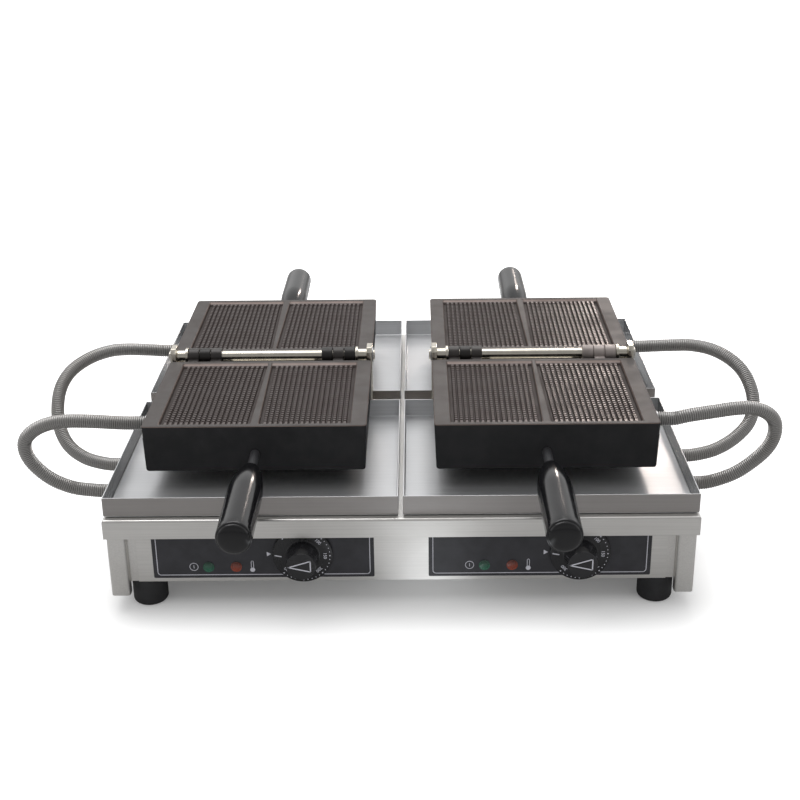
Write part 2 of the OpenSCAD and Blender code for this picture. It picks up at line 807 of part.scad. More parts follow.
// Gland along +X: hexagon nut, stub and locknut behind it, with the cable's way through
module gland(nut_l, wall, collar_r) {
    rotate([0, 90, 0])
        difference() {
            union() {
                rotate([0, 0, 30])
                    cylinder(r = gland_af / sqrt(3), h = nut_l * 0.6, $fn = 6);
                cylinder(r = collar_r, h = nut_l);
                translate([0, 0, -stub_l])
                    cylinder(r = stub_r, h = stub_l + cut);
                translate([0, 0, -wall - locknut_t])
                    rotate([0, 0, 30])
                        cylinder(r = (gland_af - locknut_step) / sqrt(3), h = locknut_t, $fn = 6);
            }
            translate([0, 0, -stub_l - cut])
                cylinder(r = hose_bore_r, h = stub_l + nut_l + 2 * cut);
        }
}

module hose_lower_glands() {
    places = [[left, left_low_front_y], [left, left_low_rear_y], [right, right_low_front_y],
        [right, right_low_rear_y]];
    color("lightsteelblue")
        for (p = places)
            translate([p[0] * side_x, p[1], low_gland_z])
                rotate([0, 0, p[0] == left ? 180 : 0])
                    gland(low_gland_l, sheet_t, hose_r + cut);
}

// Tray folded from thin sheet
module tray(unit, row) {
    color("lightgray")
        translate([unit * (tray_gap + tray_w) / 2, row * (hinge_gap + tray_d) / 2, tray_z])
            folded_pan(tray_w, tray_d, tray_h, tray_t, bend_r);
}

// Places an iron's piece: drawn for the rear iron, from the hinge axis, and turned about Z for the front
module at_iron(unit, row) {
    translate([unit * unit_pitch / 2, 0, axis_z])
        rotate([0, 0, row == front ? 180 : 0])
            children();
}

// Iron's outer form between two depths below the baking face, inset by a wall
module iron_form(from, to, inset, edge_r) {
    w0 = iron_w / 2 - lean(from) - inset;
    w1 = iron_w / 2 - lean(to) - inset;
    r = corner_r - min(inset, corner_r / 2);
    side = [[w0, -from], for (p = arc([w1 - edge_r, -to + edge_r], edge_r, 0, -90)) p];
    outline = concat(side, [for (i = [len(side) - 1:-1:0]) [-side[i][0], side[i][1]]]);
    translate([0, 0, -face_drop])
        intersection() {
            translate([0, hinge_reach + iron_d - inset, 0])
                rotate([90, 0, 0])
                    linear_extrude(iron_d - 2 * inset)
                        polygon(outline);
            translate([0, field_y, -to - cut])
                rounded_plate(iron_w - 2 * inset, iron_d - 2 * inset, to - from + 2 * cut, r);
        }
}

// One baking field's hollow: a ribbed outline along Y, cut by the leaning end walls
module field_hollow(x) {
    floor_z = -rib_drop - rib_h;
    first = -rib_count * rib_pitch / 2;
    edge = field_w / 2;
    foot = edge - field_slope;
    outline = concat([[-edge - field_slope * cut / rib_drop, cut], [-foot, -rib_drop], [-foot, floor_z]],
        [for (i = [0:rib_count - 1])
            let (x0 = first + i * rib_pitch + rib_valley_w / 2)
            each [[x0, floor_z], [x0 + rib_flank, -rib_drop], [x0 + rib_flank + rib_top_w, -rib_drop],
                [x0 + rib_pitch - rib_valley_w, floor_z]]],
        [[foot, floor_z], [foot, -rib_drop], [edge + field_slope * cut / rib_drop, cut]]);
    half = field_d / 2;
    low = half - field_slope * (rib_drop + rib_h) / rib_drop;
    high = half + field_slope * cut / rib_drop;
    translate([x, field_y, -face_drop])
        intersection() {
            translate([0, iron_d / 2, 0])
                rotate([90, 0, 0])
                    linear_extrude(iron_d)
                        polygon(outline);
            rotate([90, 0, 90])
                linear_extrude(iron_w, center = true)
                    polygon([[-low, floor_z - cut], [low, floor_z - cut], [low, floor_z], [high, cut],
                        [-high, cut], [-low, floor_z]]);
        }
}

// Middles of the knuckles of one plate; those of the other plate of the pair lie between them
function knuckle_places() = [for (i = [0:2])
    (i == 1 ? -1 : 1) * (knuckle_start + knuckle_w / 2 + i * knuckle_step)];

// Cast grid plate: two ribbed baking fields, three hinge knuckles on arms, and the handle's boss
module grid_plate() {
    color("saddlebrown")
        difference() {
            union() {
                iron_form(0, plate_t, 0, cut / 2);
                for (x = knuckle_places()) {
                    translate([x - knuckle_w / 2, 0, -knuckle_r])
                        cube([knuckle_w, hinge_reach + root, arm_h]);
                    translate([x, 0, 0])
                        rotate([0, 90, 0])
                            cylinder(r = knuckle_r, h = knuckle_w, center = true);
                }
                translate([-boss_w / 2, boss_y, boss_bottom])
                    cube([boss_w, boss_l, boss_top - boss_bottom + root]);
            }
            for (side = [-1, 1])
                field_hollow(side * field_x);
            for (x = knuckle_places())
                translate([x, 0, 0])
                    rotate([0, 90, 0])
                        cylinder(r = shaft_r + shaft_play, h = knuckle_w + 2 * cut, center = true);
            translate([0, boss_y - cut, rod_z])
                rotate([-90, 0, 0])
                    cylinder(r = rod_r + seat, h = boss_l + 2 * cut);
        }
}

// Sheet cover below the plate, with holes for the handle rod and the hose's gland
module cover(gland_side, gland_y) {
    color("black")
        difference() {
            iron_form(plate_t, iron_h, 0, cover_edge_r);
            iron_form(plate_t - cut, iron_h - cover_t, cover_t, cover_edge_r - cover_t / 2);
            translate([0, rod_y, rod_z])
                rotate([90, 0, 0])
                    cylinder(r = rod_r + seat, h = 4 * cover_t, center = true);
            translate([gland_side * iron_w / 2, gland_y, gland_z])
                rotate([0, 90, 0])
                    cylinder(r = stub_r + seat, h = 8 * cover_t, center = true);
        }
}

// Gland on the cover's outer side
module upper_gland(gland_side, gland_y) {
    color("lightsteelblue")
        translate([gland_side * gland_face, gland_y, gland_z])
            rotate([0, 0, gland_side == left ? 180 : 0])
                gland(gland_l, cover_t + iron_draft / 2, hose_r + cut);
}

// Heating element: one bent tube that runs to and fro under the plate
module element() {
    bend = element_pitch / 2;
    y0 = hinge_reach + element_inset + bend;
    y1 = boss_y - element_inset - bend;
    color("slategray")
        translate([0, 0, boss_top - element_r - seat]) {
            for (x = [-1.5, -0.5, 0.5, 1.5])
                translate([x * element_pitch, y0, 0])
                    rotate([-90, 0, 0])
                        cylinder(r = element_r, h = y1 - y0);
            for (x = [-1, 1])
                translate([x * element_pitch, y1, 0])
                    rotate_extrude(angle = 180)
                        translate([bend, 0])
                            circle(element_r);
            translate([0, y0, 0])
                rotate([0, 0, 180])
                    rotate_extrude(angle = 180)
                        translate([bend, 0])
                            circle(element_r);
            for (x = [-1, 1])
                translate([x * 1.5 * element_pitch, y0, 0])
                    rotate([90, 0, 0])
                        cylinder(r = element_r / 2, h = bend);
        }
}

module rod() {
    color("silver")
        translate([0, boss_y + seat, rod_z])
            rotate([-90, 0, 0])
                cylinder(r = rod_r, h = grip_y + rod_grip_l - boss_y - seat);
}

// Grip: swells from the rod like a club and ends in a dome
module grip() {
    length = grip_swell_l + grip_body_l;
    profile = concat([[rod_r + seat, 0], [grip_neck_r, 0]],
        [for (i = [1:8]) [grip_neck_r + (grip_r - grip_neck_r) * pow(sin(90 * i / 8), 0.8), grip_swell_l * i / 8]],
        arc([0, length], grip_end_r, 0, 90, 8),
        [[0, rod_grip_l + cut], [rod_r + seat, rod_grip_l + cut]]);
    color("black")
        translate([0, grip_y, rod_z])
            rotate([-90, 0, 0])
                rotate_extrude()
                    polygon(profile);
}

// Points along a route, on curves that leave and enter it along X; side is the way out of the gland
function hose_line(top, route, low, side) =
    let (
        straight = [side * 2 * hose_r, 0, 0],
        p = concat([top + straight], route, [low + straight]),
        last = len(p) - 1,
        t = [for (i = [0:last])
            i == 0 ? [side, 0, 0] * norm(p[1] - p[0])
            : i == last ? [-side, 0, 0] * norm(p[last] - p[last - 1])
            : (p[i + 1] - p[i - 1]) / 2]
    )
    concat([top], [for (i = [0:last - 1], k = [0:span_steps - 1]) curve(p[i], p[i + 1], t[i], t[i + 1], k / span_steps)],
        [p[last], low]);

// Point on a cubic span with its end points and end tangents
function curve(a, b, ta, tb, u) =
    a * (2 * u * u * u - 3 * u * u + 1) + ta * (u * u * u - 2 * u * u + u)
    + b * (3 * u * u - 2 * u * u * u) + tb * (u * u * u - u * u);

// Lengths along a line of points up to each of them
function run_lengths(line) = [for (i = 0, s = 0; i < len(line);
    s = s + (i + 1 < len(line) ? norm(line[i + 1] - line[i]) : 0), i = i + 1) s];

// Point at a length along a line of points
function at_length(line, runs, s) = [for (axis = [0:2])
    lookup(s, [for (i = [0:len(line) - 1]) [runs[i], line[i][axis]]])];

// Rings of a tube: one regular polygon at each length, square to the line
function rings(line, runs, lengths, radii) = [for (i = [0:len(lengths) - 1])
    let (
        s = lengths[i],
        total = runs[len(runs) - 1],
        step = hose_r / 4,
        ahead = at_length(line, runs, min(s + step, total)),
        behind = at_length(line, runs, max(s - step, 0)),
        way = (ahead - behind) / norm(ahead - behind),
        across = cross([0, 1, 0], way) / norm(cross([0, 1, 0], way)),
        up = cross(way, across)
    )
    each [for (k = [0:hose_sides - 1])
        at_length(line, runs, s) + radii[i] * (across * cos(360 * k / hose_sides) + up * sin(360 * k / hose_sides))]];

// Triangles between neighbouring rings; from is the number of the first point
function skin(from, count, inward) = [for (i = [0:count - 2], k = [0:hose_sides - 1])
    let (
        a = from + i * hose_sides + k,
        b = from + i * hose_sides + (k + 1) % hose_sides,
        c = a + hose_sides,
        d = b + hose_sides
    )
    each inward ? [[a, b, c], [b, d, c]] : [[a, c, b], [b, c, d]]];

// Least distance between two stretches of one line that lie more than skip apart, or of two lines
function least_gap(one, other, skip) = min([for (i = [0:3:len(one) - 1], j = [0:3:len(other) - 1])
    abs(i - j) > skip ? norm(one[i] - other[j]) - 2 * hose_r : body_w]);

// Ribbed hose with its bore, from an upper gland round to a lower one
module hose(top, route, low, side) {
    line = hose_line(top, route, low, side);
    runs = run_lengths(line);
    total = runs[len(runs) - 1];
    rib_rings = 2 * hose_ribs;
    outer_s = [for (i = [0:rib_rings - 1]) total * i / (rib_rings - 1)];
    outer_r = [for (i = [0:rib_rings - 1]) i % 2 == 0 ? hose_r : hose_r - hose_groove];
    bore_s = [for (i = [0:bore_rings - 1]) total * i / (bore_rings - 1)];
    bore_r = [for (i = [0:bore_rings - 1]) hose_bore_r];
    points = concat(rings(line, runs, outer_s, outer_r), rings(line, runs, bore_s, bore_r));
    bore_from = rib_rings * hose_sides;
    far_outer = bore_from - hose_sides;
    far_bore = len(points) - hose_sides;
    ends = [for (k = [0:hose_sides - 1])
        let (n = (k + 1) % hose_sides)
        each [[k, n, bore_from + k], [n, bore_from + n, bore_from + k],
            [far_outer + k, far_bore + k, far_outer + n], [far_outer + n, far_bore + k, far_bore + n]]];
    echo(hose_length = total, least_gap_to_itself = least_gap(line, line, len(line) / 2));
    color("silver")
        polyhedron(points, concat(skin(0, rib_rings, false), skin(bore_from, bore_rings, true), ends));
}

// End points of a hose at its two glands
function hose_top(unit, row) = [unit * hose_top_x, row == front ? -front_gland_y : rear_gland_y, hose_top_z];
function hose_low(unit, y) = [unit * hose_low_x, y, low_gland_z];

side_panel(left);  // left_side_panel
side_panel(right);  // right_side_panel
front_panel();
rear_panel();
deck_cap();
bottom_plate();
feet();
foot_screws();
control_overlay(left);  // left_control_overlay
control_overlay(right);  // right_control_overlay
power_lamps();
heating_lamps();
thermostats();
cable_gland();
terminal_block();
hinge_stand(left);  // left_hinge_stand
hinge_stand(right);  // right_hinge_stand
hinge_shaft(left);  // left_hinge_shaft
hinge_shaft(right);  // right_hinge_shaft
hinge_sleeves();
hinge_retainers();
hose_lower_glands();
hose(hose_top(left, front), left_front_route, hose_low(left, left_low_front_y), left);  // left_front_hose
hose(hose_top(left, rear), left_rear_route, hose_low(left, left_low_rear_y), left);  // left_rear_hose
hose(hose_top(right, front), right_front_route, hose_low(right, right_low_front_y), right);  // right_front_hose
hose(hose_top(right, rear), right_rear_route, hose_low(right, right_low_rear_y), right);  // right_rear_hose
tray(left, front);  // left_front_tray
tray(left, rear);  // left_rear_tray
tray(right, front);  // right_front_tray
tray(right, rear);  // right_rear_tray
knob(left);  // left_knob
knob(right);  // right_knob
spindle(left);  // left_spindle
spindle(right);  // right_spindle
at_iron(left, front) grid_plate();  // left_front_grid_plate
at_iron(left, front) cover(right, front_gland_y);  // left_front_cover
at_iron(left, front) element();  // left_front_element
at_iron(left, front) rod();  // left_front_rod
at_iron(left, front) grip();  // left_front_grip
at_iron(left, front) upper_gland(right, front_gland_y);  // left_front_gland
at_iron(left, rear) grid_plate();  // left_rear_grid_plate
at_iron(left, rear) cover(left, rear_gland_y);  // left_rear_cover
at_iron(left, rear) element();  // left_rear_element
at_iron(left, rear) rod();  // left_rear_rod
at_iron(left, rear) grip();  // left_rear_grip
at_iron(left, rear) upper_gland(left, rear_gland_y);  // left_rear_gland
at_iron(right, front) grid_plate();  // right_front_grid_plate
at_iron(right, front) cover(left, front_gland_y);  // right_front_cover
at_iron(right, front) element();  // right_front_element
at_iron(right, front) rod();  // right_front_rod
at_iron(right, front) grip();  // right_front_grip
at_iron(right, front) upper_gland(left, front_gland_y);  // right_front_gland
at_iron(right, rear) grid_plate();  // right_rear_grid_plate
at_iron(right, rear) cover(right, rear_gland_y);  // right_rear_cover
at_iron(right, rear) element();  // right_rear_element
at_iron(right, rear) rod();  // right_rear_rod
at_iron(right, rear) grip();  // right_rear_grip
at_iron(right, rear) upper_gland(right, rear_gland_y);  // right_rear_gland
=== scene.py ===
"""Double waffle maker for a counter: two units of cast irons that lie open over drip trays."""

import bisect
import json
import math

import bmesh
import bpy
from bpy.props import FloatProperty, FloatVectorProperty, IntProperty, PointerProperty
from mathutils import Matrix, Vector

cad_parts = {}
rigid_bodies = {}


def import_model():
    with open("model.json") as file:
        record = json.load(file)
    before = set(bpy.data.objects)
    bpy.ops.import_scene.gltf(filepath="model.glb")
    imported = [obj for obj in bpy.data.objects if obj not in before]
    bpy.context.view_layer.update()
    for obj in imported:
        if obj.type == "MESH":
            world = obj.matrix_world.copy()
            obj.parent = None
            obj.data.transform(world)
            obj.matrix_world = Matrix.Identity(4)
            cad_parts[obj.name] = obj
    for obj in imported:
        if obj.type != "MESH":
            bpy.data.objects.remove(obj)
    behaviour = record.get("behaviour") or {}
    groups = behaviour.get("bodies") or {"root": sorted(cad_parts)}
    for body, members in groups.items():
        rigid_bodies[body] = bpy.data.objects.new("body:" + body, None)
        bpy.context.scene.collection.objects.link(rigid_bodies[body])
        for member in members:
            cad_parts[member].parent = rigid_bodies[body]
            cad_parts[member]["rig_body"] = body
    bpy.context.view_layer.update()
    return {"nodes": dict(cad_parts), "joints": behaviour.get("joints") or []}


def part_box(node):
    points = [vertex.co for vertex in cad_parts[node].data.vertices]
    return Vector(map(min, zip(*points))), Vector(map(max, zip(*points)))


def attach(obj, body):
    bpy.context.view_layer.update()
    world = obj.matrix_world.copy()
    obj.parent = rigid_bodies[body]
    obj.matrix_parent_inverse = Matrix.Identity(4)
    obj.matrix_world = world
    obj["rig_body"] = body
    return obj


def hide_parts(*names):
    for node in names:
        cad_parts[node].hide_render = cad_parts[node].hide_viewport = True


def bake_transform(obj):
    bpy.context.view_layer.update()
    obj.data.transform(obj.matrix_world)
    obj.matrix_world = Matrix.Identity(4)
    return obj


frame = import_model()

bl_info = {
    "name": "Double Waffle Maker",
    "version": (1, 0, 0),
    "blender": (4, 5, 0),
    "location": "View3D > Sidebar > Waffle Maker",
    "description": "Finishes and details of a double waffle maker with hinged cast irons",
    "category": "Object",
}

HOUSING = "housing"
SIDE = {"left": -1, "right": 1}
ROW = {"front": -1, "rear": 1}
IRONS = [f"{unit}_{row}" for unit in SIDE for row in ROW]


def joint_places(ending):
    """Points on the axes of the frame's joints, by the name of what turns without its ending."""
    return {joint["child"].removesuffix(ending): Vector(joint["pos_m"]) for joint in frame["joints"]
            if joint["child"].endswith(ending)}


HINGES = joint_places("_iron")
KNOBS = joint_places("_control")
# Finishes of a cast plate, in the order of its faces' material numbers
PLATE_FINISHES = ("iron", "cover", "dark_knuckle", "worn_knuckle", "bare_knuckle")
# Thickness of a knob's skirt, which carries its scale
SKIRT_THICKNESS = 0.0034
CAMERA_SHIFT = (-0.00578, -0.00085)
# Brightness of the room that steel mirrors, from straight down (0) to straight up (1)
ROOM_STOPS = ((0.0, 0.45), (0.48, 0.6), (0.60, 1.0), (0.78, 0.75), (1.0, 0.85))

# Points that each hose follows between its two glands, in metres, as the part lays them
HOSE_ROUTES = {
    "left_front": [(-0.345, -0.143, 0.164), (-0.373, -0.142, 0.164), (-0.392, -0.141, 0.161),
                   (-0.410, -0.140, 0.153), (-0.422, -0.140, 0.141), (-0.424, -0.139, 0.126),
                   (-0.417, -0.138, 0.109), (-0.400, -0.137, 0.091), (-0.377, -0.136, 0.079),
                   (-0.352, -0.136, 0.075)],
    "left_rear": [(-0.321, 0.080, 0.164), (-0.345, 0.072, 0.168), (-0.366, 0.061, 0.170),
                  (-0.388, 0.045, 0.167), (-0.407, 0.026, 0.158), (-0.417, 0.008, 0.144),
                  (-0.419, -0.010, 0.126), (-0.414, -0.029, 0.106), (-0.401, -0.045, 0.089),
                  (-0.380, -0.056, 0.078), (-0.354, -0.064, 0.074)],
    "right_front": [(0.320, -0.144, 0.166), (0.345, -0.142, 0.169), (0.372, -0.140, 0.172),
                    (0.392, -0.138, 0.171), (0.408, -0.137, 0.164), (0.417, -0.135, 0.152),
                    (0.418, -0.134, 0.136), (0.412, -0.133, 0.120), (0.399, -0.130, 0.103),
                    (0.379, -0.129, 0.087), (0.354, -0.127, 0.076)],
    "right_rear": [(0.316, 0.081, 0.163), (0.340, 0.075, 0.166), (0.362, 0.066, 0.169),
                   (0.385, 0.052, 0.168), (0.406, 0.035, 0.160), (0.420, 0.018, 0.146),
                   (0.426, -0.002, 0.125), (0.420, -0.020, 0.104), (0.401, -0.035, 0.089),
                   (0.376, -0.047, 0.079), (0.352, -0.053, 0.075)],
}
# How far in front of or behind the hinges each lower gland sits
LOW_ENDS = {"left_front": -0.136, "left_rear": -0.066, "right_front": -0.127, "right_rear": -0.054}


class FinishSettings(bpy.types.PropertyGroup):
    """Colours of the machine's finishes."""

    def tint(name, description, default):
        return FloatVectorProperty(name=name, description=description, default=default,
                                   subtype="COLOR", min=0, max=1, size=3)

    sheet: tint("Sheet steel", "Brushed steel of the housing", (0.84, 0.825, 0.80))
    tray: tint("Tray steel", "Rolled steel of the drip trays", (0.745, 0.752, 0.765))
    # Painted shade: the end walls' faces are coloured darker than the tray steel, for the shadowed
    # floor they mirror
    tray_wall_shade: tint("Tray fronts", "Outer faces of the trays' end walls", (0.42, 0.40, 0.39))
    cast: tint("Seasoned iron", "Rims of the cast grid plates", (0.066, 0.058, 0.055))
    cast_wall: tint("Worn walls", "Leaning walls round the fields", (0.150, 0.108, 0.092))
    cast_field: tint("Baked ribs", "Tops of the ribs in the fields", (0.092, 0.071, 0.067))
    cast_low: tint("Burnt iron", "Valleys between the ribs", (0.046, 0.034, 0.031))
    cover: tint("Black paint", "Painted covers of the irons", (0.017, 0.017, 0.0185))
    grip: tint("Black grips", "Glossy plastic of the grips", (0.006, 0.006, 0.007))
    knob: tint("Black knobs", "Satin plastic of the control knobs", (0.018, 0.018, 0.020))
    overlay: tint("Overlay film", "Dark film of the control overlays", (0.032, 0.032, 0.038))
    ink: tint("Light ink", "Printed lines and figures", (0.62, 0.62, 0.68))
    rubber: tint("Foot rubber", "Rubber of the feet", (0.022, 0.022, 0.024))
    pin: tint("Turned steel", "Hinge shafts, sleeves and stands", (0.70, 0.66, 0.58))
    hose: tint("Hose steel", "Ribbed metal hoses", (0.44, 0.43, 0.42))
    gland: tint("Plated brass", "Glands of the hoses", (0.66, 0.66, 0.66))
    ceramic: tint("Inner plastic", "Terminal block and thermostats", (0.62, 0.60, 0.52))
    element: tint("Element sheath", "Heating elements", (0.20, 0.19, 0.19))
    zinc: tint("Zinc", "Screws, rings and spindles", (0.52, 0.52, 0.53))
    green: tint("Green lens", "Lens of the power lamps", (0.011, 0.095, 0.052))
    orange: tint("Orange lens", "Lens of the heating lamps", (0.21, 0.032, 0.012))


class DetailSettings(bpy.types.PropertyGroup):
    """Sizes of the details that the finished pieces add."""

    def length(name, description, default):
        return FloatProperty(name=name, description=description, default=default, unit="LENGTH",
                             min=0, precision=5)

    edge: length("Edge bevel", "Rounding of sheared and machined edges", 0.0004)
    hose_radius: length("Hose radius", "Outer radius of a hose over its ribs", 0.008)
    hose_groove: length("Hose groove", "Depth of the grooves between the ribs", 0.0009)
    hose_pitch: length("Hose rib pitch", "Distance from rib to rib along a hose", 0.0024)
    hose_bore: length("Hose bore", "Radius of a hose's bore", 0.0048)
    rib_pitch: length("Grid pitch", "Distance from rib to rib in the baking fields", 0.0057)
    rib_top: length("Rib top", "Width of a rib's top", 0.0026)
    rib_valley: length("Rib valley", "Width of the valley between two ribs", 0.0012)
    rib_height: length("Rib height", "Height of the ribs over the valleys", 0.0026)
    rib_drop: length("Rib drop", "Depth of the ribs' tops below the rims", 0.0022)
    field_slope: length("Side slope", "Width of the leaning walls beside a field", 0.0010)
    end_slope: length("End slope", "Width of the leaning walls at a field's ends", 0.0045)
    side_rim: length("Side rim", "Width of a plate's rims at its sides", 0.017)
    end_rim: length("End rim", "Width of a plate's rims at its ends", 0.006)
    divider: length("Divider", "Width of the bar between two fields at the handle", 0.008)
    divider_narrow: length("Divider at hinge", "Width of that bar at the hinge", 0.0035)
    plate_edge: length("Plate edge", "Rounding of a plate's upper edge", 0.0008)
    plate_thickness: length("Plate thickness", "Thickness of a cast plate", 0.014)
    hinge_reach: length("Hinge reach", "Distance from the hinge axis to a plate", 0.0175)
    knuckle_radius: length("Knuckle radius", "Outer radius of a hinge knuckle", 0.0095)
    knuckle_width: length("Knuckle width", "Width of a hinge knuckle", 0.013)
    knuckle_start: length("Knuckle start", "From the middle to the first knuckle's middle", 0.0665)
    knuckle_gap: length("Knuckle gap", "Gap between two knuckles", 0.0005)
    notch_depth: length("Notch depth", "Depth of the cross grooves in the ribs", 0.0024)
    print_height: length("Ink height", "Thickness of printed lines", 0.00008)
    foot_radius: length("Foot radius", "Radius of a rubber foot", 0.0187)
    knob_skirt: length("Knob skirt", "Outer radius of a knob's skirt", 0.0317)
    hose_sides: IntProperty(name="Hose sides", description="Faces round a hose", default=24, min=8,
                            max=64)


class StageSettings(bpy.types.PropertyGroup):
    """Camera, lamps and backdrop."""

    def angle(name, description, degrees):
        return FloatProperty(name=name, description=description, default=math.radians(degrees),
                             subtype="ANGLE")

    def power(name, description, default):
        return FloatProperty(name=name, description=description, default=default, unit="POWER",
                             min=0, max=500)

    camera: FloatVectorProperty(name="Camera", description="Place of the camera", size=3,
                                subtype="TRANSLATION", unit="LENGTH",
                                default=(0.01916, -1.5107, 0.7662))
    lens: FloatProperty(name="Lens", description="Focal length in millimetres", default=60.55,
                        min=10, max=200)
    pitch: angle("Pitch", "Angle below the horizon", 22.937)
    yaw: angle("Yaw", "Turn to the right", -0.628)
    roll: angle("Roll", "Turn about the view line", -0.7285)
    world: FloatProperty(name="Room light", description="Strength of the light from all round",
                         default=0.62, min=0, max=2)
    key: power("Key lamp", "Power of the large lamp overhead", 24)
    glare: power("Glare lamp", "Power of the small lamp behind", 5.0)


def settings():
    """The settings of the finishes, the details and the stage."""
    scene = bpy.context.scene
    return scene.waffle_finish, scene.waffle_detail, scene.waffle_stage


# Shader nodes and finishes

def new_group(name, outputs, **inputs):
    """Node group that takes a Vector and other values by name, with its inner ends' sockets."""
    tree = bpy.data.node_groups.new(name, "ShaderNodeTree")
    tree.interface.new_socket(name="Vector", in_out="INPUT", socket_type="NodeSocketVector")
    for label, value in inputs.items():
        kind = "NodeSocketFloat" if isinstance(value, float) else "NodeSocketVector"
        socket = tree.interface.new_socket(name=label, in_out="INPUT", socket_type=kind)
        socket.default_value = value
    for label in outputs:
        tree.interface.new_socket(name=label, in_out="OUTPUT", socket_type="NodeSocketFloat")
    given, out = tree.nodes.new("NodeGroupInput"), tree.nodes.new("NodeGroupOutput")
    return tree, given.outputs, out.inputs


def add(tree, kind, values=(), **options):
    """Adds a shader node, sets its options, and sets or links its inputs by name or number."""
    node = tree.nodes.new("ShaderNode" + kind)
    for key, value in options.items():
        setattr(node, key, value)
    for key, value in dict(values).items():
        if isinstance(value, bpy.types.NodeSocket):
            tree.links.new(value, node.inputs[key])
        else:
            node.inputs[key].default_value = value
    return node


def spread(tree, value, low, high, to_low=0.0, to_high=1.0):
    """Maps a value's range onto another one."""
    return add(tree, "MapRange", {"Value": value, "From Min": low, "From Max": high,
                                  "To Min": to_low, "To Max": to_high}).outputs["Result"]


def maths(tree, operation, first, second=0.0):
    """Result of a math node."""
    return add(tree, "Math", {0: first, 1: second}, operation=operation).outputs[0]


def axis_of(tree, vector, axis):
    """One coordinate of a vector."""
    return add(tree, "SeparateXYZ", {0: vector}).outputs[axis]


def noise(tree, vector, scale, detail, **values):
    """Cloudy noise from 0 to 1."""
    return add(tree, "TexNoise", {"Vector": vector, "Scale": scale, "Detail": detail,
                                  **values}).outputs[0]


def grain_group():
    """Long fine scratches left by the brush or the roll."""
    tree, given, out = new_group("brushed_grain", ["Grain"], Stretch=(8, 600, 600))
    stretched = add(tree, "VectorMath", {0: given["Vector"], 1: given["Stretch"]},
                    operation="MULTIPLY").outputs[0]
    fine = noise(tree, stretched, 1.0, 4.0, Roughness=0.65)
    tree.links.new(spread(tree, fine, 0.3, 0.7), out["Grain"])
    return tree


def marks_group():
    """Soft blotches where hands and cloths have been."""
    tree, given, out = new_group("handling_marks", ["Mask"], Scale=12.0)
    cloud = noise(tree, given["Vector"], given["Scale"], 5.0, Roughness=0.55, Distortion=0.6)
    tree.links.new(spread(tree, cloud, 0.42, 0.66), out["Mask"])
    return tree


def skin_group():
    """Sand-cast or powder-coated skin: fine grit with a soft roll under it."""
    tree, given, out = new_group("cast_skin", ["Height", "Tone"], Scale=900.0)
    grit = noise(tree, given["Vector"], given["Scale"], 3.0)
    roll = noise(tree, given["Vector"], 60.0, 4.0)
    tree.links.new(maths(tree, "ADD", grit, roll), out["Height"])
    tree.links.new(spread(tree, roll, 0.35, 0.65), out["Tone"])
    return tree


def specks_group():
    """Sparse small specks of dust or crumbs: the middles of one cell in ten."""
    tree, given, out = new_group("specks", ["Mask"], Scale=160.0, Size=0.08)
    cells = add(tree, "TexVoronoi", {"Vector": given["Vector"], "Scale": given["Scale"],
                                     "Randomness": 1.0}).outputs
    near = maths(tree, "LESS_THAN", cells["Distance"], given["Size"])
    chance = add(tree, "SeparateColor", {0: cells["Color"]}).outputs[0]
    few = maths(tree, "GREATER_THAN", chance, 0.9)
    tree.links.new(maths(tree, "MULTIPLY", near, few), out["Mask"])
    return tree


GROUP_MAKERS = {"brushed_grain": grain_group, "handling_marks": marks_group,
                "cast_skin": skin_group, "specks": specks_group}
GROUPS = {}


def placed_group(tree, name, **values):
    """Puts a group in a material, made when it is first asked for, and sets its inputs."""
    if name not in GROUPS:
        GROUPS[name] = GROUP_MAKERS[name]()
    return add(tree, "Group", values, node_tree=GROUPS[name]).outputs


def start_material(name, metallic, rough, **constants):
    """Material with a Principled BSDF; constants go on the shader's own sockets."""
    material = bpy.data.materials.new(name)
    material.use_nodes = True
    tree = material.node_tree
    shader = tree.nodes["Principled BSDF"]
    for key, value in {"Metallic": metallic, "Roughness": rough, **constants}.items():
        shader.inputs[key.replace("_", " ")].default_value = value
    return material, tree, add(tree, "TexCoord").outputs["Object"]


def dressed(material, colour, rough, normal=None):
    """Links a finish's colour, roughness and normal to its shader."""
    tree = material.node_tree
    inputs = tree.nodes["Principled BSDF"].inputs
    for key, socket in (("Base Color", colour), ("Roughness", rough), ("Normal", normal)):
        if socket:
            tree.links.new(socket, inputs[key])
    return material


def mixed(tree, mask, first, second, blend="MIX"):
    """Colour between two colours or sockets by a mask."""
    first, second = (c if isinstance(c, bpy.types.NodeSocket) else (*c, 1) for c in (first, second))
    return add(tree, "Mix", {0: mask, 6: first, 7: second}, data_type="RGBA",
               blend_type=blend).outputs[2]


def bumped(tree, height, strength, distance):
    """Normal from a height, in metres."""
    return add(tree, "Bump", {"Height": height, "Strength": strength,
                              "Distance": distance}).outputs["Normal"]


def scaled(colour, share):
    """A darker or lighter colour."""
    return tuple(min(1.0, c * share) for c in colour)


def brushed_steel(name, colour, rough, stretch, marks=0.08, depth=0.00002, metallic=1.0):
    """Brushed or rolled steel: long grain in roughness, tone and normal, with hand marks on it."""
    material, tree, coords = start_material(name, metallic, rough)
    grain = placed_group(tree, "brushed_grain", Vector=coords, Stretch=stretch)["Grain"]
    blotch = placed_group(tree, "handling_marks", Vector=coords, Scale=9.0)["Mask"]
    tone = mixed(tree, grain, scaled(colour, 0.93), scaled(colour, 1.05))
    worn = mixed(tree, blotch, tone, (0.965, 0.96, 0.955), "MULTIPLY")
    fine = spread(tree, grain, 0, 1, rough - 0.06, rough + 0.06)
    both = maths(tree, "ADD", fine, spread(tree, blotch, 0, 1, 0, marks))
    return dressed(material, worn, both, bumped(tree, grain, 0.35, depth) if depth else None)


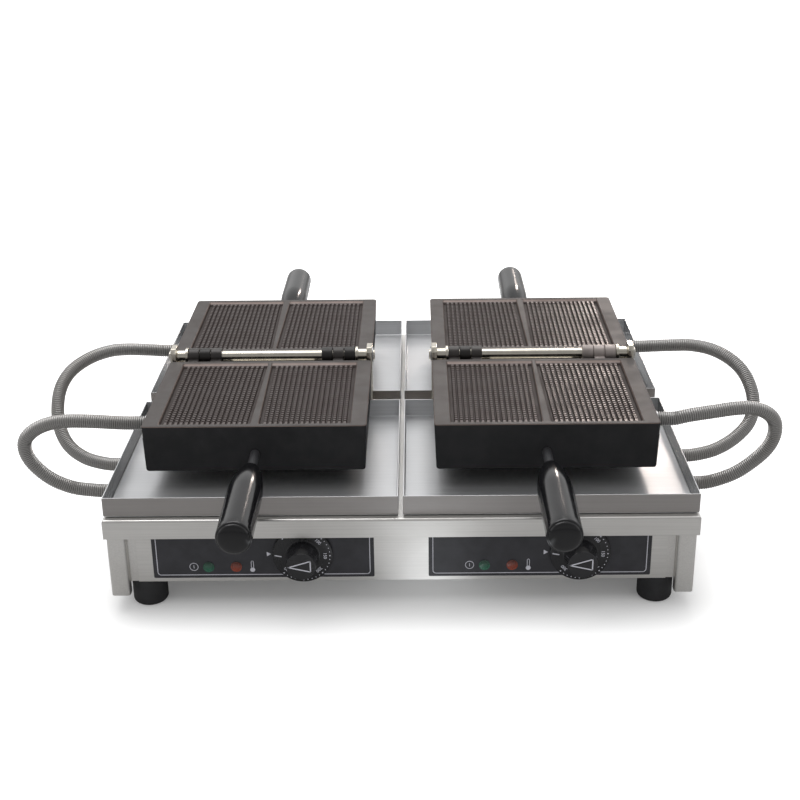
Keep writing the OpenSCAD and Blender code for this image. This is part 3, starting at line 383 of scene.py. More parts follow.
def hose_steel(name, colour):
    """Wound steel strip: bright ribs over darker grooves, by the mesh's groove mask."""
    material, tree, coords = start_material(name, 0.8, 0.36)
    groove = add(tree, "Attribute", attribute_name="groove").outputs["Fac"]
    blotch = placed_group(tree, "handling_marks", Vector=coords, Scale=14.0)["Mask"]
    tone = mixed(tree, groove, colour, scaled(colour, 0.62))
    worn = mixed(tree, blotch, tone, (0.90, 0.89, 0.88), "MULTIPLY")
    return dressed(material, worn, spread(tree, groove, 0, 1, 0.34, 0.5))


def coated(name, colour, rough, scale=900.0, depth=0.00006, strength=0.25, metallic=0.0, tone=0.85,
           marks=0.10, shine=0.5):
    """Paint, plastic or rubber: a fine skin, a drifting tone and hand marks in the gloss."""
    material, tree, coords = start_material(name, metallic, rough, Specular_IOR_Level=shine)
    skin = placed_group(tree, "cast_skin", Vector=coords, Scale=scale)
    blotch = placed_group(tree, "handling_marks", Vector=coords, Scale=18.0)["Mask"]
    drift = mixed(tree, skin["Tone"], scaled(colour, tone), scaled(colour, 2 - tone))
    return dressed(material, drift, spread(tree, blotch, 0, 1, rough, rough + marks),
                   bumped(tree, skin["Height"], strength, depth))


def seasoned_iron(name, look, top, detail):
    """Cast iron with a baked-on season: dry rims, redder ribs and burnt valleys, by depth."""
    material, tree, coords = start_material(name, 0.25, 0.42, Specular_IOR_Level=0.7)
    skin = placed_group(tree, "cast_skin", Vector=coords, Scale=700.0)
    blotch = placed_group(tree, "handling_marks", Vector=coords, Scale=22.0)["Mask"]
    crumbs = placed_group(tree, "specks", Vector=coords, Scale=240.0, Size=0.10)["Mask"]
    height = axis_of(tree, coords, "Z")
    ribs, thin, thick = top - detail.rib_drop, 0.0001, 0.0004
    baked = mixed(tree, spread(tree, height, ribs - 0.0020, ribs - thin), look.cast_low,
                  look.cast_field)
    edge = mixed(tree, spread(tree, height, top - 0.0006, top - thin), look.cast_wall, look.cast)
    iron = mixed(tree, spread(tree, height, ribs + thin, ribs + thick), baked, edge)
    iron = mixed(tree, skin["Tone"], iron, (0.84, 0.78, 0.75), "MULTIPLY")
    iron = mixed(tree, crumbs, iron, (0.13, 0.10, 0.08))
    oiled = spread(tree, blotch, 0, 1, 0.31, 0.42)
    dry = spread(tree, height, ribs + thick, top - thick, 0, 0.22)
    burnt = spread(tree, height, ribs - 0.0010, ribs - 0.0002, 0.35, 0)
    rough = maths(tree, "ADD", maths(tree, "ADD", oiled, dry), burnt)
    return dressed(material, iron, rough, bumped(tree, skin["Height"], 0.3, 0.00006))


def lens(name, colour):
    """Moulded lens of a pilot lamp that isn't lit, with painted shade over its upper half and
    painted light on its lower half.
    """
    material, tree, coords = start_material(name, 0.0, 0.18, Coat_Weight=0.8, Coat_Roughness=0.05)
    ribs = add(tree, "TexWave", {"Vector": coords, "Scale": 420.0, "Distortion": 0.4},
               wave_type="BANDS", bands_direction="X").outputs["Fac"]
    # Painted light and shade: the lens is coloured lighter at its bottom and darker towards its top
    low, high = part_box("power_lamps")
    shade = spread(tree, axis_of(tree, coords, "Z"), low.z, high.z)
    return dressed(material, mixed(tree, shade, scaled(colour, 1.5), scaled(colour, 0.35)),
                   spread(tree, ribs, 0, 1, 0.12, 0.30), bumped(tree, ribs, 0.4, 0.0002))


MATERIALS = {}


def material(name):
    """The finish of that name, made when it is first asked for."""
    look, detail, _ = settings()
    face_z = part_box("left_rear_cover")[1].z + detail.plate_thickness
    along_x, along_y = (6, 700, 700), (700, 6, 700)
    makers = {
        "sheet": lambda: brushed_steel("sheet_steel", look.sheet, 0.34, along_x),
        "side": lambda: brushed_steel("side_steel", look.sheet, 0.34, along_y),
        "tray": lambda: brushed_steel("tray_steel", look.tray, 0.35, along_x, depth=0.00001,
                                      metallic=0.74),
        # Painted shade: the outer side walls' inner faces are coloured at 0.3 of the tray steel, a
        # painted reflection of the irons' black sides
        "tray_side_shade": lambda: brushed_steel("tray_side_steel", scaled(look.tray, 0.30), 0.24,
                                           along_y, marks=0.05, depth=0),
        # Painted shade: darker steel on the trays' end walls, for the shadowed floor they mirror
        "tray_wall_shade": lambda: brushed_steel("tray_wall_steel", look.tray_wall_shade, 0.38, along_x,
                                           marks=0.1, metallic=0.88),
        "iron": lambda: seasoned_iron("seasoned_iron", look, face_z, detail),
        "dark_knuckle": lambda: coated("dark_knuckle", scaled(look.cast, 0.30), 0.32, metallic=0.3),
        "worn_knuckle": lambda: coated("worn_knuckle", scaled(look.cast, 0.62), 0.32, metallic=0.3),
        # Painted highlight: five times the iron's colour, for knuckles lit by glare
        "bare_knuckle": lambda: coated("bare_knuckle", scaled(look.cast, 5.0), 0.40, metallic=0.5),
        "cover": lambda: coated("black_paint", look.cover, 0.5, scale=1200.0, shine=0.25),
        "grip": lambda: coated("gloss_grip", look.grip, 0.13, scale=60.0, depth=0.00004,
                               strength=0.08, marks=0.08),
        "knob": lambda: coated("satin_knob", look.knob, 0.22, scale=1600.0, strength=0.12),
        "overlay": lambda: coated("overlay_film", look.overlay, 0.34, scale=2600.0, strength=0.12),
        "ink": lambda: coated("light_ink", look.ink, 0.5, tone=0.95),
        "rod": lambda: coated("painted_rod", scaled(look.cover, 2.2), 0.4),
        "rubber": lambda: coated("foot_rubber", look.rubber, 0.62, scale=500.0, strength=0.4),
        "pin": lambda: brushed_steel("turned_steel", look.pin, 0.20, (90, 6, 6), marks=0.05,
                                     depth=0),
        "hose": lambda: hose_steel("hose_steel", look.hose),
        "gland": lambda: brushed_steel("plated_gland", look.gland, 0.22, (60, 60, 60), depth=0),
        "black_gland": lambda: coated("moulded_gland", look.rubber, 0.5),
        "green": lambda: lens("green_lens", look.green),
        "orange": lambda: lens("orange_lens", look.orange),
        "ceramic": lambda: coated("inner_plastic", look.ceramic, 0.45, tone=0.95),
        "element": lambda: brushed_steel("element_sheath", look.element, 0.45, (200, 200, 200)),
        "zinc": lambda: brushed_steel("zinc_screw", look.zinc, 0.32, (300, 300, 300)),
    }
    if name not in MATERIALS:
        MATERIALS[name] = makers[name]()
    return MATERIALS[name]


# Mesh helpers

def finish_mesh(name, bm, finish, body, smooth=35, replaces=()):
    """Makes an object from a bmesh, shades it smooth up to an angle and lets it ride on a body.

    The finish is one name, or a tuple of names in the order of the faces' material numbers.
    """
    bmesh.ops.remove_doubles(bm, verts=bm.verts, dist=1e-6)
    bmesh.ops.recalc_face_normals(bm, faces=bm.faces)
    mesh = bpy.data.meshes.new(name)
    bm.to_mesh(mesh)
    bm.free()
    mesh.shade_smooth()
    mesh.set_sharp_from_angle(angle=math.radians(smooth))
    for each in (finish,) if isinstance(finish, str) else finish:
        mesh.materials.append(material(each))
    piece = bpy.data.objects.new(name, mesh)
    bpy.context.scene.collection.objects.link(piece)
    if body:
        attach(piece, body)
    if replaces:
        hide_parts(*replaces)
    return piece


def bevel_modifier(piece, width):
    """Rounds a piece's edges where its faces turn by more than 30 degrees."""
    bevel = piece.modifiers.new("edge", "BEVEL")
    bevel.width = width
    bevel.segments = 2
    bevel.limit_method = "ANGLE"
    bevel.angle_limit = math.radians(30)
    bevel.harden_normals = True
    bevel.use_clamp_overlap = True


def node_bmesh(node):
    """A merged copy of a CAD node's mesh, with its flat faces dissolved into whole ones."""
    bm = bmesh.new()
    bm.from_mesh(frame["nodes"][node].data)
    bmesh.ops.remove_doubles(bm, verts=bm.verts, dist=1e-6)
    bmesh.ops.dissolve_limit(bm, angle_limit=math.radians(0.5), verts=bm.verts, edges=bm.edges)
    return bm


def body_of_node(node):
    """The body that a CAD node rides on."""
    return frame["nodes"][node]["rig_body"]


def refined(node, finish, width=None):
    """Stands for a CAD node with the same shape and rounded edges."""
    width = settings()[1].edge if width is None else width
    piece = finish_mesh(f"{node}_body", node_bmesh(node), finish, body_of_node(node),
                        replaces=(node,))
    if width:
        bevel_modifier(piece, width)


def painted(node, finish):
    """Gives a CAD node that is right as it is a finish."""
    slots = frame["nodes"][node].data.materials
    slots.clear()
    slots.append(material(finish))


def merge(bm, part, matrix, finish=0):
    """Adds a finished part, moved by a matrix, to a mesh under construction."""
    part.transform(matrix)
    for face in part.faces:
        face.material_index = finish
    mesh = bpy.data.meshes.new("part")
    part.to_mesh(mesh)
    part.free()
    bm.from_mesh(mesh)
    bpy.data.meshes.remove(mesh)


def revolved(profile, steps):
    """Spins a profile of (radius, height) points round Z."""
    bm = bmesh.new()
    line = [bm.verts.new((r, 0, z)) for r, z in profile]
    edges = [bm.edges.new(pair) for pair in zip(line, line[1:])]
    bmesh.ops.spin(bm, geom=line + edges, cent=(0, 0, 0), axis=(0, 0, 1), angle=math.tau,
                   steps=steps, use_merge=True)
    bmesh.ops.remove_doubles(bm, verts=bm.verts, dist=1e-7)
    return bm


def round_points(x, z, radius, start, sweep, steps, first=0):
    """Points on a rounding of a half section, from one angle through a sweep, in degrees."""
    turns = (math.radians(start + sweep * i / steps) for i in range(first, steps + 1))
    return [(x + radius * math.cos(t), z + radius * math.sin(t)) for t in turns]


def block(size, bevel=0.0):
    """Box of that size round its middle, with rounded edges."""
    bm = bmesh.new()
    bmesh.ops.create_cube(bm, size=1.0, matrix=Matrix.Diagonal((*size, 1)))
    if bevel:
        bmesh.ops.bevel(bm, geom=bm.edges[:], offset=bevel, offset_type="OFFSET", segments=2,
                        profile=0.5, affect="EDGES", material=-1, clamp_overlap=True)
    return bm


# Pieces

def side_of(name):
    """-1 for a piece of the left unit, and 1 for one of the right."""
    return SIDE[name.split("_")[0]]


def hose_ends(name):
    """The middles of the mouths of a hose's upper and lower gland."""
    side, seat = side_of(name), 0.0001
    low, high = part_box(f"{name}_gland")
    middle = (low + high) / 2
    top = Vector((low.x - seat if side < 0 else high.x + seat, middle.y, middle.z))
    low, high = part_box("hose_lower_glands")
    return top, Vector((side * (high.x + seat), LOW_ENDS[name], (low.z + high.z) / 2))


def hose_line(name, steps=24):
    """A hose's middle line: straight out of each gland, and on cubic spans through its route."""
    detail = settings()[1]
    side = side_of(name)
    top, low = hose_ends(name)
    straight = Vector((side * 2 * detail.hose_radius, 0, 0))
    points = [top + straight] + [Vector(p) for p in HOSE_ROUTES[name]] + [low + straight]
    slopes = [(after - before) / 2 for before, after in zip(points, points[2:])]
    slopes = [straight.normalized() * (points[1] - points[0]).length] + slopes
    slopes += [-straight.normalized() * (points[-1] - points[-2]).length]
    line = [top]
    for i in range(len(points) - 1):
        for k in range(steps):
            u = k / steps
            line.append(points[i] * (2 * u ** 3 - 3 * u * u + 1)
                        + slopes[i] * (u ** 3 - 2 * u * u + u)
                        + points[i + 1] * (3 * u * u - 2 * u ** 3)
                        + slopes[i + 1] * (u ** 3 - u * u))
    return line + [points[-1], low]


def run_lengths(line):
    """Distance along a line to each of its points."""
    runs = [0.0]
    for a, b in zip(line, line[1:]):
        runs.append(runs[-1] + (b - a).length)
    return runs


def place_on_line(line, runs, run):
    """Matrix at a distance along a line: Z runs along it, and Y stays across it."""
    at = min(max(bisect.bisect_left(runs, run) - 1, 0), len(line) - 2)
    share = (run - runs[at]) / (runs[at + 1] - runs[at])
    before, after = line[max(at - 2, 0)], line[min(at + 3, len(line) - 1)]
    way = (after - before).normalized()
    across = Vector((0, 1, 0)).cross(way).normalized()
    axes = Matrix((across, way.cross(across), way)).transposed().to_4x4()
    return Matrix.Translation(line[at].lerp(line[at + 1], share)) @ axes


def ribbed_tube(line, runs):
    """Ribbed tube with its bore: turned straight, then laid along the line. Keeps a groove mask."""
    detail = settings()[1]
    ribs = round(runs[-1] / detail.hose_pitch)
    rings = 4 * ribs
    depth = (0.0, 0.35, 1.0, 0.35)
    outer = [(detail.hose_radius - detail.hose_groove * depth[i % 4], runs[-1] * i / rings)
             for i in range(rings + 1)]
    bore = [(detail.hose_bore, runs[-1] * i / ribs) for i in range(ribs, -1, -1)]
    bm = revolved(outer + bore + outer[:1], detail.hose_sides)
    groove = bm.verts.layers.float.new("groove")
    places = {}
    for v in bm.verts:
        reach = math.hypot(v.co.x, v.co.y)
        v[groove] = (detail.hose_radius - reach) / detail.hose_groove
        key = round(v.co.z, 7)
        if key not in places:
            places[key] = place_on_line(line, runs, v.co.z)
        v.co = places[key] @ Vector((v.co.x, v.co.y, 0))
    return bm


class WAFFLE_OT_hoses(bpy.types.Operator):
    """Make the four ribbed metal hoses and their glands"""

    bl_idname = "waffle.hoses"
    bl_label = "Hoses"

    def execute(self, context):
        for name in IRONS:
            line = hose_line(name)
            runs = run_lengths(line)
            piece = finish_mesh(f"{name}_ribbed_hose", ribbed_tube(line, runs), "hose", None,
                                smooth=60, replaces=(f"{name}_hose",))
            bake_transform(piece)
            refined(f"{name}_gland", "gland", width=0.0005)
        refined("hose_lower_glands", "gland", width=0.0005)
        return {"FINISHED"}


class WAFFLE_OT_housing(bpy.types.Operator):
    """Finish the housing's sheets, its feet and the parts at the rear"""

    bl_idname = "waffle.housing"
    bl_label = "Housing"

    def execute(self, context):
        for node in ("left_side_panel", "right_side_panel"):
            refined(node, "side")
        for node in ("front_panel", "rear_panel", "bottom_plate", "deck_cap"):
            refined(node, "sheet")
        self.feet()
        refined("foot_screws", "zinc")
        refined("cable_gland", "black_gland", width=0.0006)
        refined("terminal_block", "ceramic", width=0.0006)
        refined("thermostats", "ceramic")
        return {"FINISHED"}

    def feet(self):
        """Rubber feet with a soft lower edge and a hole for the screw, where the CAD ones stand."""
        low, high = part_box("feet")
        radius, tall = settings()[1].foot_radius, high.z - low.z
        soft, rim, hole, hole_depth = 0.005, 0.002, 0.0048, 0.012
        profile = [(0.0, 0.0), *round_points(radius - soft, soft, soft, -90, 90, 8),
                   (radius, tall - rim / 2), (radius - 0.0006, tall - 0.0002), (radius - rim, tall),
                   (hole, tall), (hole, tall - hole_depth), (0.0, tall - hole_depth)]
        bm = bmesh.new()
        for x in (low.x + radius, high.x - radius):
            for y in (low.y + radius, high.y - radius):
                merge(bm, revolved(profile, steps=56), Matrix.Translation((x, y, low.z)))
        finish_mesh("rubber_feet", bm, "rubber", HOUSING, smooth=30,
                    replaces=("feet",))


class WAFFLE_OT_trays(bpy.types.Operator):
    """Finish the four folded drip trays"""

    bl_idname = "waffle.trays"
    bl_label = "Drip trays"

    def execute(self, context):
        end_reach, side_reach, facing = 0.0002, 0.004, 0.9
        for name in IRONS:
            node, side = f"{name}_tray", side_of(name)
            low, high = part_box(node)
            outer_x = high.x if side > 0 else low.x
            bm = node_bmesh(node)
            bmesh.ops.recalc_face_normals(bm, faces=bm.faces)
            for face in bm.faces:
                middle = face.calc_center_median()
                at_end = min(middle.y - low.y, high.y - middle.y) < end_reach
                # Painted shade: the end walls get the darker steel
                if at_end and abs(face.normal.y) > facing:
                    face.material_index = 1
                # Painted shade: the outer side walls' inner faces get the much darker steel
                elif abs(outer_x - middle.x) < side_reach and face.normal.x * side < -facing:
                    face.material_index = 2
            tray = finish_mesh(f"{node}_body", bm, ("tray", "tray_wall_shade", "tray_side_shade"), node,
                               replaces=(node,))
            bevel_modifier(tray, width=0.0003)
        return {"FINISHED"}


def ramp(value, low, high):
    """0 below low, 1 above high, and straight between them."""
    return min(max((value - low) / (high - low), 0.0), 1.0)


def rib_columns(middle, width, detail):
    """Places of the ribs' corners across one field, its first rib's start, and how many ribs."""
    pitch = detail.rib_pitch
    count = int((width - detail.rib_valley) / pitch)
    start = middle - count * pitch / 2
    marks = (detail.rib_valley / 2, (pitch - detail.rib_top) / 2, (pitch + detail.rib_top) / 2,
             pitch - detail.rib_valley / 2)
    return [start + i * pitch + mark for i in range(count) for mark in marks], start, count


def plate_face(half_w, near, far):
    """The plate's baking side, drawn from the hinge's middle at the height of the face, 0."""
    detail = settings()[1]
    pitch = detail.rib_pitch
    edge, corner, lip = detail.plate_edge, 0.004, 0.00035
    rib_run, notch_mouth, notch_floor = 0.002, 0.0014, 0.0008
    field_w = half_w - detail.side_rim - detail.divider / 2
    middles = [sign * (field_w + detail.divider) / 2 for sign in (-1, 1)]
    y0, y1 = near + detail.end_rim, far - detail.end_rim
    slope, end_slope, drop = detail.field_slope, detail.end_slope, detail.rib_drop
    columns = {half_w * sign - sign * inset for sign in (-1, 1)
               for inset in (0, edge, corner / 2, corner)}
    column_depth = {}
    for middle in middles:
        marks, start, count = rib_columns(middle, field_w - 2 * slope, detail)
        columns.update(marks)
        columns.update(middle + sign * (field_w / 2 - inset) for sign in (-1, 1)
                       for inset in (-lip, lip, slope, slope + 0.0001))
        for x in columns:
            inside = field_w / 2 - abs(x - middle)
            if inside > 0:
                phase = ((x - start) / pitch) % 1 if start < x < start + count * pitch else 0.0
                rise = ramp(min(phase, 1 - phase) * pitch, detail.rib_valley / 2,
                            (pitch - detail.rib_top) / 2)
                column_depth[x] = (inside, drop + detail.rib_height * (1 - rise))
    notch_count = int((y1 - y0 - 4 * end_slope) / pitch)
    notches = [(y0 + y1) / 2 + (i - (notch_count - 1) / 2) * pitch for i in range(notch_count)]
    rows = {near, near + edge, near + corner / 2, near + corner}
    rows |= {near + far - y for y in rows}
    for end, way in ((y0, 1), (y1, -1)):
        rows.update(end + way * inset for inset in (-lip, lip, end_slope, end_slope + rib_run))
    rows.update(y + offset for y in notches
                for offset in (-notch_mouth, -notch_floor, notch_floor, notch_mouth))
    columns, rows = sorted(columns), sorted(rows)
    notch_depth = {y: detail.notch_depth * ramp(-min(abs(y - n) for n in notches), -notch_mouth,
                                                -notch_floor) for y in rows}

    def depth(x, y):
        edge_fall = edge * ramp(-min(half_w - abs(x), y - near, far - y), -edge, 0)
        if x not in column_depth or not y0 < y < y1:
            return edge_fall
        inside, floor = column_depth[x]
        along = min(y - y0, y1 - y)
        wall = drop * min(ramp(inside, 0, slope), ramp(along, 0, end_slope))
        if inside < slope or along < end_slope:
            return wall
        bottom = drop + detail.rib_height
        floor = min(floor, drop + (along - end_slope) * detail.rib_height / rib_run)
        return min(max(floor, drop + notch_depth[y]), bottom)

    bm = bmesh.new()
    bmesh.ops.create_grid(bm, x_segments=len(columns) - 1, y_segments=len(rows) - 1, size=0.5)
    for v in bm.verts:
        x = columns[round((v.co.x + 0.5) * (len(columns) - 1))]
        y = rows[round((v.co.y + 0.5) * (len(rows) - 1))]
        z = -depth(x, y)
        over_x, over_y = abs(x) - half_w + corner, max(near + corner - y, y - far + corner)
        if over_x > 0 and over_y > 0:
            pull = max(over_x, over_y) / math.hypot(over_x, over_y)
            x = math.copysign(half_w - corner + over_x * pull, x)
            over_y *= pull
            y = near + corner - over_y if 2 * y < near + far else far - corner + over_y
        elif abs(x) < half_w - detail.side_rim:
            inner = detail.divider / 2
            share = ramp(half_w - detail.side_rim - abs(x), 0, field_w)
            pull = share * (inner - detail.divider_narrow / 2) * ramp(-y, -y1, -y0)
            most = abs(x) * (1 - detail.divider_narrow / detail.divider)
            x = math.copysign(abs(x) - min(pull, most), x)
        v.co = (x, y, z)
    return bm


def grid_plate(name):
    """Cast plate: face and fields, painted walls, three bored knuckles on arms, and a boss."""
    detail = settings()[1]
    low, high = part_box(f"{name}_grid_plate")
    cover_low, cover_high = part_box(f"{name}_cover")
    hinge, black = HINGES[name], PLATE_FINISHES.index("cover")
    reach, length, thick = detail.hinge_reach, cover_high.y - cover_low.y, detail.plate_thickness
    bm = plate_face((high.x - low.x) / 2, reach, reach + length)
    rim = [e for e in bm.edges if e.is_boundary]
    made = bmesh.ops.extrude_edge_only(bm, edges=rim)["geom"]
    lean = (cover_high.x - cover_low.x) / (high.x - low.x)
    for v in (g for g in made if isinstance(g, bmesh.types.BMVert)):
        v.co = (v.co.x * lean, v.co.y, -thick)
    back = bmesh.ops.contextual_create(bm, geom=[e for e in bm.edges if e.is_boundary])["faces"]
    for face in back + [g for g in made if isinstance(g, bmesh.types.BMFace)]:
        face.material_index = black
    bmesh.ops.translate(bm, verts=bm.verts, vec=(0, 0, cover_high.z + thick - hinge.z))
    knuckles(bm, name)
    boss_w, boss_d, boss_inset, boss_edge = 0.020, 0.024, 0.0136, 0.001
    top, bottom = cover_high.z - hinge.z, low.z - hinge.z
    merge(bm, block((boss_w, boss_d, top - bottom), boss_edge),
          Matrix.Translation((0, reach + length - boss_inset, (top + bottom) / 2)), black)
    return bm


def knuckles(bm, name):
    """Three bored knuckles on arms, from the hinge axis; the right unit's rightmost get a painted
    highlight.
    """
    detail = settings()[1]
    radius, width, soft, arm = detail.knuckle_radius, detail.knuckle_width, 0.0007, 0.009
    play, arm_play, arm_edge, overlap = 0.00005, 0.0002, 0.0008, 0.002
    half, front = width / 2, name.endswith("front")
    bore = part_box("left_hinge_shaft")[1].z - HINGES["left_rear"].z + play
    profile = [(bore, -half), (radius - soft, -half), (radius, -half + soft), (radius, half - soft),
               (radius - soft, half), (bore, half), (bore, -half)]
    reach = detail.hinge_reach + overlap - bore
    for i in range(3):
        # The middle one stands at the other side, between those of the neighbour
        x = (detail.knuckle_start + i * (width + detail.knuckle_gap)) * (-1 if i == 1 else 1)
        # Painted highlight: the right unit's rightmost knuckles take a much lighter finish, for the
        # glare on them
        glare_lit = name.startswith("right") and (i == 1) == front
        finish = "bare_knuckle" if glare_lit else "worn_knuckle" if front else "dark_knuckle"
        finish = PLATE_FINISHES.index(finish)
        turn = Matrix.Translation((x, 0, 0)) @ Matrix.Rotation(math.pi / 2, 4, "Y")
        merge(bm, revolved(profile, steps=40), turn, finish)
        merge(bm, block((width - 2 * arm_play, reach, arm - arm_play), arm_edge),
              Matrix.Translation((x, bore + reach / 2, -radius + arm / 2)), finish)


class WAFFLE_OT_plates(bpy.types.Operator):
    """Make the four cast grid plates with their baking fields"""

    bl_idname = "waffle.plates"
    bl_label = "Grid plates"

    def execute(self, context):
        for name in IRONS:
            bm = grid_plate(name)
            turn = Matrix.Rotation(math.pi if name.endswith("front") else 0, 4, "Z")
            bmesh.ops.transform(bm, matrix=Matrix.Translation(HINGES[name]) @ turn, verts=bm.verts)
            finish_mesh(f"{name}_cast_plate", bm, PLATE_FINISHES, f"{name}_iron",
                        smooth=24, replaces=(f"{name}_grid_plate",))
        return {"FINISHED"}


class WAFFLE_OT_covers(bpy.types.Operator):
    """Finish the painted covers and the heating elements"""

    bl_idname = "waffle.covers"
    bl_label = "Covers"

    def execute(self, context):
        for name in IRONS:
            refined(f"{name}_cover", "cover", width=0.0004)
            painted(f"{name}_element", "element")
        return {"FINISHED"}


class WAFFLE_OT_hinges(bpy.types.Operator):
    """Finish the hinge stands, shafts, sleeves and rings"""

    bl_idname = "waffle.hinges"
    bl_label = "Hinges"

    def execute(self, context):
        for unit in SIDE:
            refined(f"{unit}_hinge_stand", "pin", width=0.0006)
            refined(f"{unit}_hinge_shaft", "pin", width=0.0006)
        refined("hinge_sleeves", "pin", width=0.0004)
        refined("hinge_retainers", "zinc", width=0.0002)
        return {"FINISHED"}


def grip_profile():
    """Half outline of a grip along its length, from the neck to the dome and back in the bore."""
    bore, bore_end, neck, belly, end = 0.0051, 0.121, 0.007, 0.0182, 0.0177
    lip, swell, body, soft, dome = 0.0006, 0.066, 0.084, 0.0025, 0.005
    out = [(bore, 0.0), (neck - lip, 0.0), (neck, lip)]
    for t in (i / 24 for i in range(1, 25)):
        bulge = math.sin(math.pi / 2 * t) ** 0.8
        out.append((neck + (belly - neck) * bulge, lip + (swell - lip) * t))
    out += [(belly + (end - belly) * i / 8, swell + body * i / 8) for i in range(1, 9)]
    out += round_points(end - soft, swell + body, soft, 0, 75, 6, 1)
    edge, level = out[-1]
    for a in (math.pi / 2 * i / 8 for i in range(1, 8)):
        out.append((edge * math.cos(a), level + dome * math.sin(a)))
    return out + [(0.0, level + dome), (0.0, bore_end), (bore, bore_end), out[0]]


class WAFFLE_OT_handles(bpy.types.Operator):
    """Make the turned grips on their rods"""

    bl_idname = "waffle.handles"
    bl_label = "Handles"

    def execute(self, context):
        for name in IRONS:
            sign = ROW[name.split("_")[1]]
            low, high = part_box(f"{name}_rod")
            grip_low, grip_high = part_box(f"{name}_grip")
            start = grip_low.y if sign > 0 else grip_high.y
            centre = ((low.x + high.x) / 2, start, (low.z + high.z) / 2)
            turn = Matrix.Rotation(-sign * math.pi / 2, 4, "X")
            bm = revolved(grip_profile(), steps=64)
            bm.transform(Matrix.Translation(centre) @ turn)
            finish_mesh(f"{name}_turned_grip", bm, "grip", f"{name}_iron", smooth=40,
                        replaces=(f"{name}_grip",))
            refined(f"{name}_rod", "rod", width=0.0004)
        return {"FINISHED"}


def flat_to_panel(x, y, z):
    """Places a drawing in the XY plane on a face towards the front, at that point."""
    return Matrix.Translation((x, y, z)) @ Matrix.Rotation(math.pi / 2, 4, "X")


def bar(bm, a, b, width, height, matrix):
    """Flat printed stroke from a to b."""
    a, b = Vector((*a, height / 2)), Vector((*b, height / 2))
    turn = Matrix.Rotation(math.atan2(b.y - a.y, b.x - a.x), 4, "Z")
    merge(bm, block(((b - a).length + width, width, height)),
          matrix @ Matrix.Translation((a + b) / 2) @ turn)


def arc(bm, centre, radius, angle, sweep, width, height, matrix, steps):
    """Printed arc, or a whole ring where it sweeps right round."""
    inner, outer = radius - width / 2, radius + width / 2
    part = bmesh.new()
    line = [part.verts.new((r, 0, z))
            for r, z in ((inner, 0), (outer, 0), (outer, height), (inner, height))]
    edges = [part.edges.new(pair) for pair in zip(line, line[1:] + line[:1])]
    whole = sweep > math.tau - 0.001
    if not whole:
        part.faces.new(line)
    made = bmesh.ops.spin(part, geom=line + edges, cent=(0, 0, 0), axis=(0, 0, 1), angle=sweep,
                          steps=steps, use_merge=whole)["geom_last"]
    if not whole:
        last = [g for g in made if isinstance(g, bmesh.types.BMEdge)]
        bmesh.ops.contextual_create(part, geom=last)
    merge(bm, part, matrix @ Matrix.Translation((*centre, 0)) @ Matrix.Rotation(angle, 4, "Z"))


def spot(bm, centre, radius, height, matrix, segments=12, angle=0.0):
    """Printed dot, or another regular shape."""
    part = bmesh.new()
    bmesh.ops.create_cone(part, cap_ends=True, segments=segments, radius1=radius, radius2=radius,
                          depth=height)
    turn = Matrix.Rotation(angle, 4, "Z")
    merge(bm, part, matrix @ Matrix.Translation((*centre, height / 2)) @ turn)


def figure(bm, text, size, matrix, height):
    """Printed figures as flat extruded outlines."""
    curve = bpy.data.curves.new("figure", "FONT")
    curve.body = text
    curve.size = size
    curve.align_x = curve.align_y = "CENTER"
    curve.extrude = height / 2
    curve.resolution_u = 3
    curve.offset = size * 0.012
    holder = bpy.data.objects.new("figure", curve)
    bpy.context.scene.collection.objects.link(holder)
    bpy.context.view_layer.update()
    graph = bpy.context.evaluated_depsgraph_get()
    mesh = bpy.data.meshes.new_from_object(holder.evaluated_get(graph))
    mesh.transform(matrix @ Matrix.Translation((0, 0, height / 2)))
    bm.from_mesh(mesh)
    bpy.data.meshes.remove(mesh)
    bpy.data.objects.remove(holder)
    bpy.data.curves.remove(curve)


def overlay_print(unit):
    """Border, mains sign, thermometer and index printed on one overlay."""
    height = settings()[1].print_height
    low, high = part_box(f"{unit}_control_overlay")
    place = flat_to_panel((low.x + high.x) / 2, low.y, low.z)
    bm = bmesh.new()
    foot, margin, radius, line = 0.0036, 0.0045, 0.0035, 0.0008
    half, top = (high.x - low.x) / 2 - margin, high.z - low.z - foot
    for z in (foot, top):
        bar(bm, (radius - half, z), (half - radius, z), line, height, place)
    for x in (-half, half):
        bar(bm, (x, foot + radius), (x, top - radius), line, height, place)
    for i, (x, z) in enumerate(((1, 1), (-1, 1), (-1, -1), (1, -1))):
        centre = (x * (half - radius), top - radius if z > 0 else foot + radius)
        arc(bm, centre, radius, i * math.pi / 2, math.pi / 2, line, height, place, steps=8)
    # Mains sign, in a row with the lamps' middles
    lamp_radius, mains, ring, tick, fine = 0.006, -0.074, 0.0044, 0.0016, 0.0006
    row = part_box("power_lamps")[0].z + lamp_radius - low.z
    arc(bm, (mains, row), ring, 0, math.tau, fine, height, place, steps=32)
    bar(bm, (mains, row - tick), (mains, row + tick), fine, height, place)
    # Thermometer: a filled bulb under a rounded tube
    stem, bulb, tube = -0.0119, 0.0026, 0.0012
    bulb_z, tube_low, tube_top = row - 0.0040, row - 0.0018, row + 0.0054
    spot(bm, (stem, bulb_z), bulb, height, place, segments=24)
    for x in (stem - tube, stem + tube):
        bar(bm, (x, tube_low), (x, tube_top), fine, height, place)
    arc(bm, (stem, tube_top), tube, 0, math.pi, fine, height, place, steps=10)
    # Index beside the knob: a triangle that points at it
    index_x, index_size = 0.0055, 0.0031
    spot(bm, (index_x, KNOBS[unit].z - low.z), index_size, height, place, segments=3,
         angle=-math.pi / 2)
    finish_mesh(f"{unit}_overlay_print", bm, "ink", HOUSING, smooth=30)


